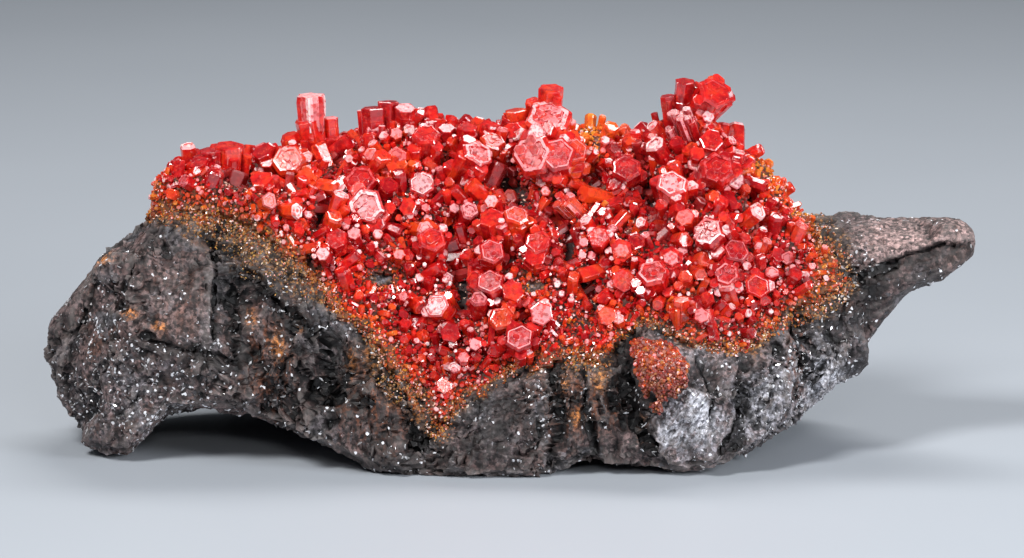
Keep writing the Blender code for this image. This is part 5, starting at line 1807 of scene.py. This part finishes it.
def cover_with_rust(s, fine):
    """Rust, orange stains and the golden ground with its grains."""
    upright = s.noise(0.8, 4.0, 0.65, 0.3, (1, 1, 3))
    s.cover(s.times(s.attribute("rust"), s.band(upright, 0.42, 0.60)), RUST_RED)
    s.cover(s.times(s.attribute("stain"), s.band(fine, 0.36, 0.58)), RUST_ORANGE)
    s.cover(s.band(s.noise(3.6, 4.0, 0.6), 0.56, 0.70, 0.0, 0.6), STRAY_RUST)
    speckle = s.noise(0.7, 4.0, 0.7)
    gold = s.attribute("gold")
    s.cover(s.times(gold, s.band(speckle, 0.30, 0.52, 0.5, 1.0)), GOLD_GROUND)
    least = s.band(speckle, 0.35, 0.65, 0.92, 0.62)
    sprinkled = s.math("GREATER_THAN", s.channel(s.cells(0.25), 2), least)
    s.cover(s.times(gold, sprinkled), GOLD_GRAINS)


def cover_with_grain(s, fine, painted_sheen):
    """Fine grain, worn edges with a painted highlight, the dark below the crust, and painted shade in
    hollows and cracks.
    """
    grain = s.band(s.channel(s.cells(0.33), 1), 0.0, 1.0, 0.30, 1.75)
    grain = s.times(grain, s.band(fine, 0.34, 0.66, 0.45, 1.55))
    grain = s.mix(s.times(painted_sheen, 0.55), grain, (1.1, 1.1, 1.1))
    s.cover(1.0, grain, "MULTIPLY")
    # Worn edges get a painted highlight; recesses, hollows, bands and cracks get painted shade.
    for name, strength, colour in (
        ("lit_and_worn_edge", 0.45, LIT_WORN_EDGE), ("under", 0.85, UNDER_CRUST), ("deep", 1.0, DEEP_SHADE),
        ("dark", 0.92, CRACK_SHADE),
    ):
        s.cover(s.times(s.attribute(name), strength), colour)


def cover_with_glints(s):
    """Shining flakes, their colour also lightened as a painted glint, and painted glint dots. Returns
    which flakes shine, how much, and their normal.
    """
    clusters = s.band(s.noise(1.6, 3.0, 0.6), 0.38, 0.66, 0.25, 1.3)
    clusters = s.times(s.attribute("glint"), clusters)
    light = s.math("SUBTRACT", 1.0, s.attribute("dark"))
    chosen, normal = s.glitter(0.38, 1.2, s.times(clusters, 0.28))
    shine = s.times(chosen, light)
    # The shining cells are lightened too: a painted glint.
    s.cover(s.times(shine, 0.5), FLAKE_SHINE)
    # Painted glints: grey or golden dots in a few cells.
    painted_glint = s.math("LESS_THAN", s.channel(s.cells(0.27), 0), s.times(clusters, 0.11))
    golden = s.math("ADD", s.attribute("gold"), s.attribute("under"), True)
    s.cover(s.times(s.times(painted_glint, light), 0.95), s.mix(golden, GREY_GLINT, GOLD_GLINT))
    return chosen, shine, normal


def rock_material():
    s = Shader("iron_manganese_rock_look")
    broad = s.noise(6.0, 5.0, 0.6, 0.6)
    fine = s.noise(0.5, 4.0, 0.7)
    s.colour = s.mix(s.band(broad, 0.40, 0.62), ROCK_DARK, ROCK_LIGHT)
    cover_with_breaks(s, s.noise(1.9, 4.0, 0.65, 0.4))
    painted_sheen = cover_with_cool_and_sheen(s)
    cover_with_rust(s, fine)
    cover_with_grain(s, fine, painted_sheen)
    chosen, shine, normal = cover_with_glints(s)
    rough = s.mix(chosen, s.band(fine, 0.35, 0.65, 0.66, 0.45), (0.16, 0.16, 0.16))
    normal = s.bump(s.noise(0.3, 5.0, 0.7), 0.6, 0.10, normal)
    return s.finish(
        Base_Color=s.colour, Roughness=rough, Normal=normal, Metallic=s.times(shine, 0.6), IOR=1.42
    )


# Colours of the crystals: from deep red to yellow by their tone, and where they are in the dark.
TONES = (0.0, 0.2, 0.6, 0.95)
RED_CRYSTALS = (
    ((0.38, 0.003, 0.007), (0.70, 0.013, 0.011), (0.85, 0.10, 0.012), (0.90, 0.40, 0.05)),
    (0.13, 0.004, 0.004),
)
GOLDEN_CRYSTALS = (
    ((0.16, 0.012, 0.006), (0.42, 0.040, 0.010), (0.50, 0.150, 0.025), (0.72, 0.38, 0.10)),
    (0.050, 0.022, 0.010),
)
INNER_RED, GLOW_RED = (0.22, 0.001, 0.004), (0.93, 0.12, 0.06)
# Frost with its painted highlight, from thin to thick: the band of its strength, how far it covers,
# and the colour.
FROST_HIGHLIGHT_COLOURS = (
    (0.12, 0.60, 0.85, (0.88, 0.26, 0.28)),
    (0.5, 1.0, 0.85, (0.94, 0.64, 0.63)),
    (1.05, 1.35, 1.0, (0.98, 0.86, 0.82)),
)


def crystal_material(name, colours, dim):
    s = Shader(name)
    tone, frost_and_highlight = s.attribute("tone"), s.attribute("frost_and_highlight")
    share = s.math("ADD", tone, s.band(s.noise(1.1, 3.0, 0.6), 0.3, 0.7, -0.12, 0.12))
    ramp = s.nodes.new("ShaderNodeValToRGB")
    s.links.new(share, ramp.inputs[0])
    while len(ramp.color_ramp.elements) < len(TONES):
        ramp.color_ramp.elements.new(0.5)
    for element, at, colour in zip(ramp.color_ramp.elements, TONES, colours):
        element.position = at
        element.color = (*colour, 1)
    s.colour = ramp.outputs[0]
    s.cover(s.band(s.noise(0.8, 4.0, 0.65, 0.6), 0.50, 0.66, 0.0, 0.6), INNER_RED)
    s.cover(s.band(s.noise(0.45, 3.0, 0.6, 0.4), 0.55, 0.70, 0.0, 0.4), GLOW_RED)
    seams = s.band(s.cells(0.42, "Distance"), 0.32, 0.62)
    patchy = s.band(s.noise(0.4, 3.0, 0.65), 0.40, 0.60, 0.2, 1.0)
    # The pale caps and streaks are frost and a painted highlight.
    white = s.times(frost_and_highlight, s.math("MAXIMUM", patchy, seams))
    for low, high, most, colour in FROST_HIGHLIGHT_COLOURS:
        s.cover(s.band(white, low, high, 0.0, most), colour)
    s.cover(s.times(s.attribute("dim"), 0.95), dim)
    clear = s.band(s.noise(0.3, 2.0), 0.35, 0.7, 0.07, 0.22)
    matt = s.math("MAXIMUM", s.band(frost_and_highlight, 0.1, 0.6), s.attribute("dim"))
    rough = s.mix(matt, clear, (0.50, 0.50, 0.50))
    normal = s.bump(s.noise(0.28, 3.0, 0.6), 0.3, 0.05)
    return s.finish(
        Base_Color=s.colour, Roughness=rough, Normal=normal, IOR=1.9, Subsurface_Weight=0.2,
        Subsurface_Radius=(1.0, 0.12, 0.05), Subsurface_Scale=0.8 * MM,
    )


GROUND_DARK, GROUND_RED, GROUND_BROWN = (0.030, 0.006, 0.004), (0.120, 0.018, 0.009), (0.16, 0.055, 0.014)
# Its orange grains, the painted shade of its hollows, and its painted glints.
GROUND_GRAINS, GROUND_DIM, GROUND_GLINTS = (0.50, 0.045, 0.018), (0.010, 0.002, 0.002), (0.90, 0.55, 0.42)


def ground_material():
    """The dark red-brown druse that lies deepest between the crystals."""
    s = Shader("crust_ground_look")
    lumps = s.noise(0.7, 4.0, 0.65)
    s.colour = s.mix(s.band(lumps, 0.40, 0.62), GROUND_DARK, GROUND_RED)
    s.cover(s.times(s.attribute("tone"), s.band(lumps, 0.35, 0.6, 0.2, 1.0)), GROUND_BROWN)
    s.cover(s.band(s.channel(s.cells(0.26), 0), 0.70, 0.95, 0.0, 0.8), GROUND_GRAINS)
    # Painted shade in the hollows between the crystals.
    s.cover(s.times(s.attribute("dim"), 0.9), GROUND_DIM)
    # Painted glints: pale dots in a few cells.
    s.cover(s.math("GREATER_THAN", s.channel(s.cells(0.24), 1), 0.965), GROUND_GLINTS)
    chosen, normal = s.glitter(0.3, 1.0, 0.12)
    rough = s.mix(chosen, s.band(lumps, 0.3, 0.7, 0.75, 0.5), (0.2, 0.2, 0.2))
    normal = s.bump(s.noise(0.3, 4.0, 0.7), 0.8, 0.12, normal)
    return s.finish(Base_Color=s.colour, Roughness=rough, Normal=normal)


# The flakes' silvery colour is partly a painted glint, pale so that they show under any light.
FLAKE_GREY, FLAKE_GLINT_WHITE = (0.42, 0.40, 0.40), (0.80, 0.80, 0.83)


def flake_material():
    s = Shader("rock_flake_look")
    colour = s.mix(s.band(s.cells(0.6), 0.3, 0.7), FLAKE_GREY, FLAKE_GLINT_WHITE)
    rough = s.band(s.noise(0.5), 0.3, 0.7, 0.12, 0.3)
    return s.finish(Base_Color=colour, Roughness=rough, Metallic=0.35)


# ---------------------------------------------------------------- stage


FLOOR_RADIUS, FLOOR_SIDES = 1500.0, 96
FLOOR_Z = -0.02
FLOOR_TINTS = (0.39, 0.42, 0.46), (0.43, 0.46, 0.50)
SKY, SKY_STRENGTH = (0.62, 0.68, 0.76, 1), 0.14
# Lights: place, width and height, watts and colour. Each is aimed at the middle of the specimen.
LIGHTS = {
    "key": ((-170, -210, 320), (110, 110), 1.45, (1, 1, 1)),
    "right": ((250, -170, 120), (130, 150), 0.85, (0.93, 0.96, 1)),
    "front": ((40, -420, 190), (110, 50), 0.28, (1, 1, 1)),
    "top_back": ((40, 170, 270), (260, 70), 0.6, (1, 1, 1)),
}
LIGHT_AIM = Vector((0, 0, 16))


def add_lights():
    for name, (place, size, watts, colour) in LIGHTS.items():
        data = bpy.data.lights.new(name, "AREA")
        data.shape = "RECTANGLE"
        data.size, data.size_y = size[0] * MM, size[1] * MM
        data.energy = watts
        data.color = colour
        light = bpy.data.objects.new(name, data)
        bpy.context.scene.collection.objects.link(light)
        light.location = Vector(place) * MM
        way = (LIGHT_AIM - Vector(place)) * MM
        light.rotation_euler = way.to_track_quat("-Z", "Y").to_euler()


def add_camera():
    data = bpy.data.cameras.new("camera")
    data.lens, data.sensor_width = LENS, SENSOR
    data.clip_start, data.clip_end = 0.01, 20
    camera = bpy.data.objects.new("camera", data)
    bpy.context.scene.collection.objects.link(camera)
    middle = front_point(*FRAME_MIDDLE) - TOWARD_FRONT * FRAME_DEPTH
    distance = FRAME_WIDTH * LENS / SENSOR
    camera.location = (middle + TOWARD_FRONT * distance) * MM
    camera.rotation_euler = (math.pi / 2 - FRONT_TILT, 0, 0)
    bpy.context.scene.camera = camera


def add_floor():
    turns = np.linspace(0, 2 * math.pi, FLOOR_SIDES, endpoint=False)
    level = np.full(FLOOR_SIDES, FLOOR_Z)
    points = np.stack([FLOOR_RADIUS * np.cos(turns), FLOOR_RADIUS * np.sin(turns), level], axis=1)
    floor = make_object("studio_floor", points, [np.arange(FLOOR_SIDES)[None, :]])
    s = Shader("studio_floor_look")
    tint = s.mix(s.noise(60.0, 2.0), *FLOOR_TINTS)
    floor.data.materials.append(s.finish(Base_Color=tint, Roughness=0.55))


def make_stage():
    add_floor()
    world = bpy.data.worlds.new("studio")
    world.use_nodes = True
    back = world.node_tree.nodes["Background"]
    back.inputs["Color"].default_value = SKY
    back.inputs["Strength"].default_value = SKY_STRENGTH
    bpy.context.scene.world = world
    add_lights()
    bpy.context.scene.view_settings.view_transform = "Standard"
    add_camera()


# ---------------------------------------------------------------- the specimen


def show(piece, material, slot, *nodes):
    """Gives a piece its look and body, and hides the nodes that it stands for. The slot is not used."""
    piece.data.materials.clear()
    piece.data.materials.append(material)
    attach(piece, "root")
    if nodes:
        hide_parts(*nodes)


def main():
    make_stage()
    tree = solid_tree(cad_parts["matrix"])
    rock, *rock_skin = make_rock(tree)
    show(rock, rock_material(), "iron_manganese_rock", "matrix")

    points, quads = remeshed(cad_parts["matrix"], CRUST_VOXEL)
    points = smoothed(points, quads, CRUST_SMOOTHING)
    red = crystal_material("red_vanadinite_look", *RED_CRYSTALS)
    golden = crystal_material("golden_druse_look", *GOLDEN_CRYSTALS)

    depth = crust_depth(points)
    base, *skin = skin_piece("crust_base", points, quads, crust_margin(points), depth, SKIN_TAPER, 100)
    show(base, ground_material(), "red_vanadinite", "vanadinite_crust")
    large, placed = large_crystals(tree)
    for piece in large + fill_pieces(skin, placed):
        show(piece, red, "red_vanadinite", "vanadinite_crust")

    depth = np.full(len(points), PATCH_DEPTH)
    base, *skin = skin_piece("patch_base", points, quads, patch_margin(points), depth, PATCH_TAPER, 130)
    show(base, ground_material(), "orange_vanadinite", "vanadinite_front_patch")
    show(patch_druse(skin), red, "orange_vanadinite", "vanadinite_front_patch")

    show(margin_druse(*rock_skin), golden, "orange_vanadinite")
    show(rock_flakes(*rock_skin), flake_material(), "iron_manganese_rock")


main()
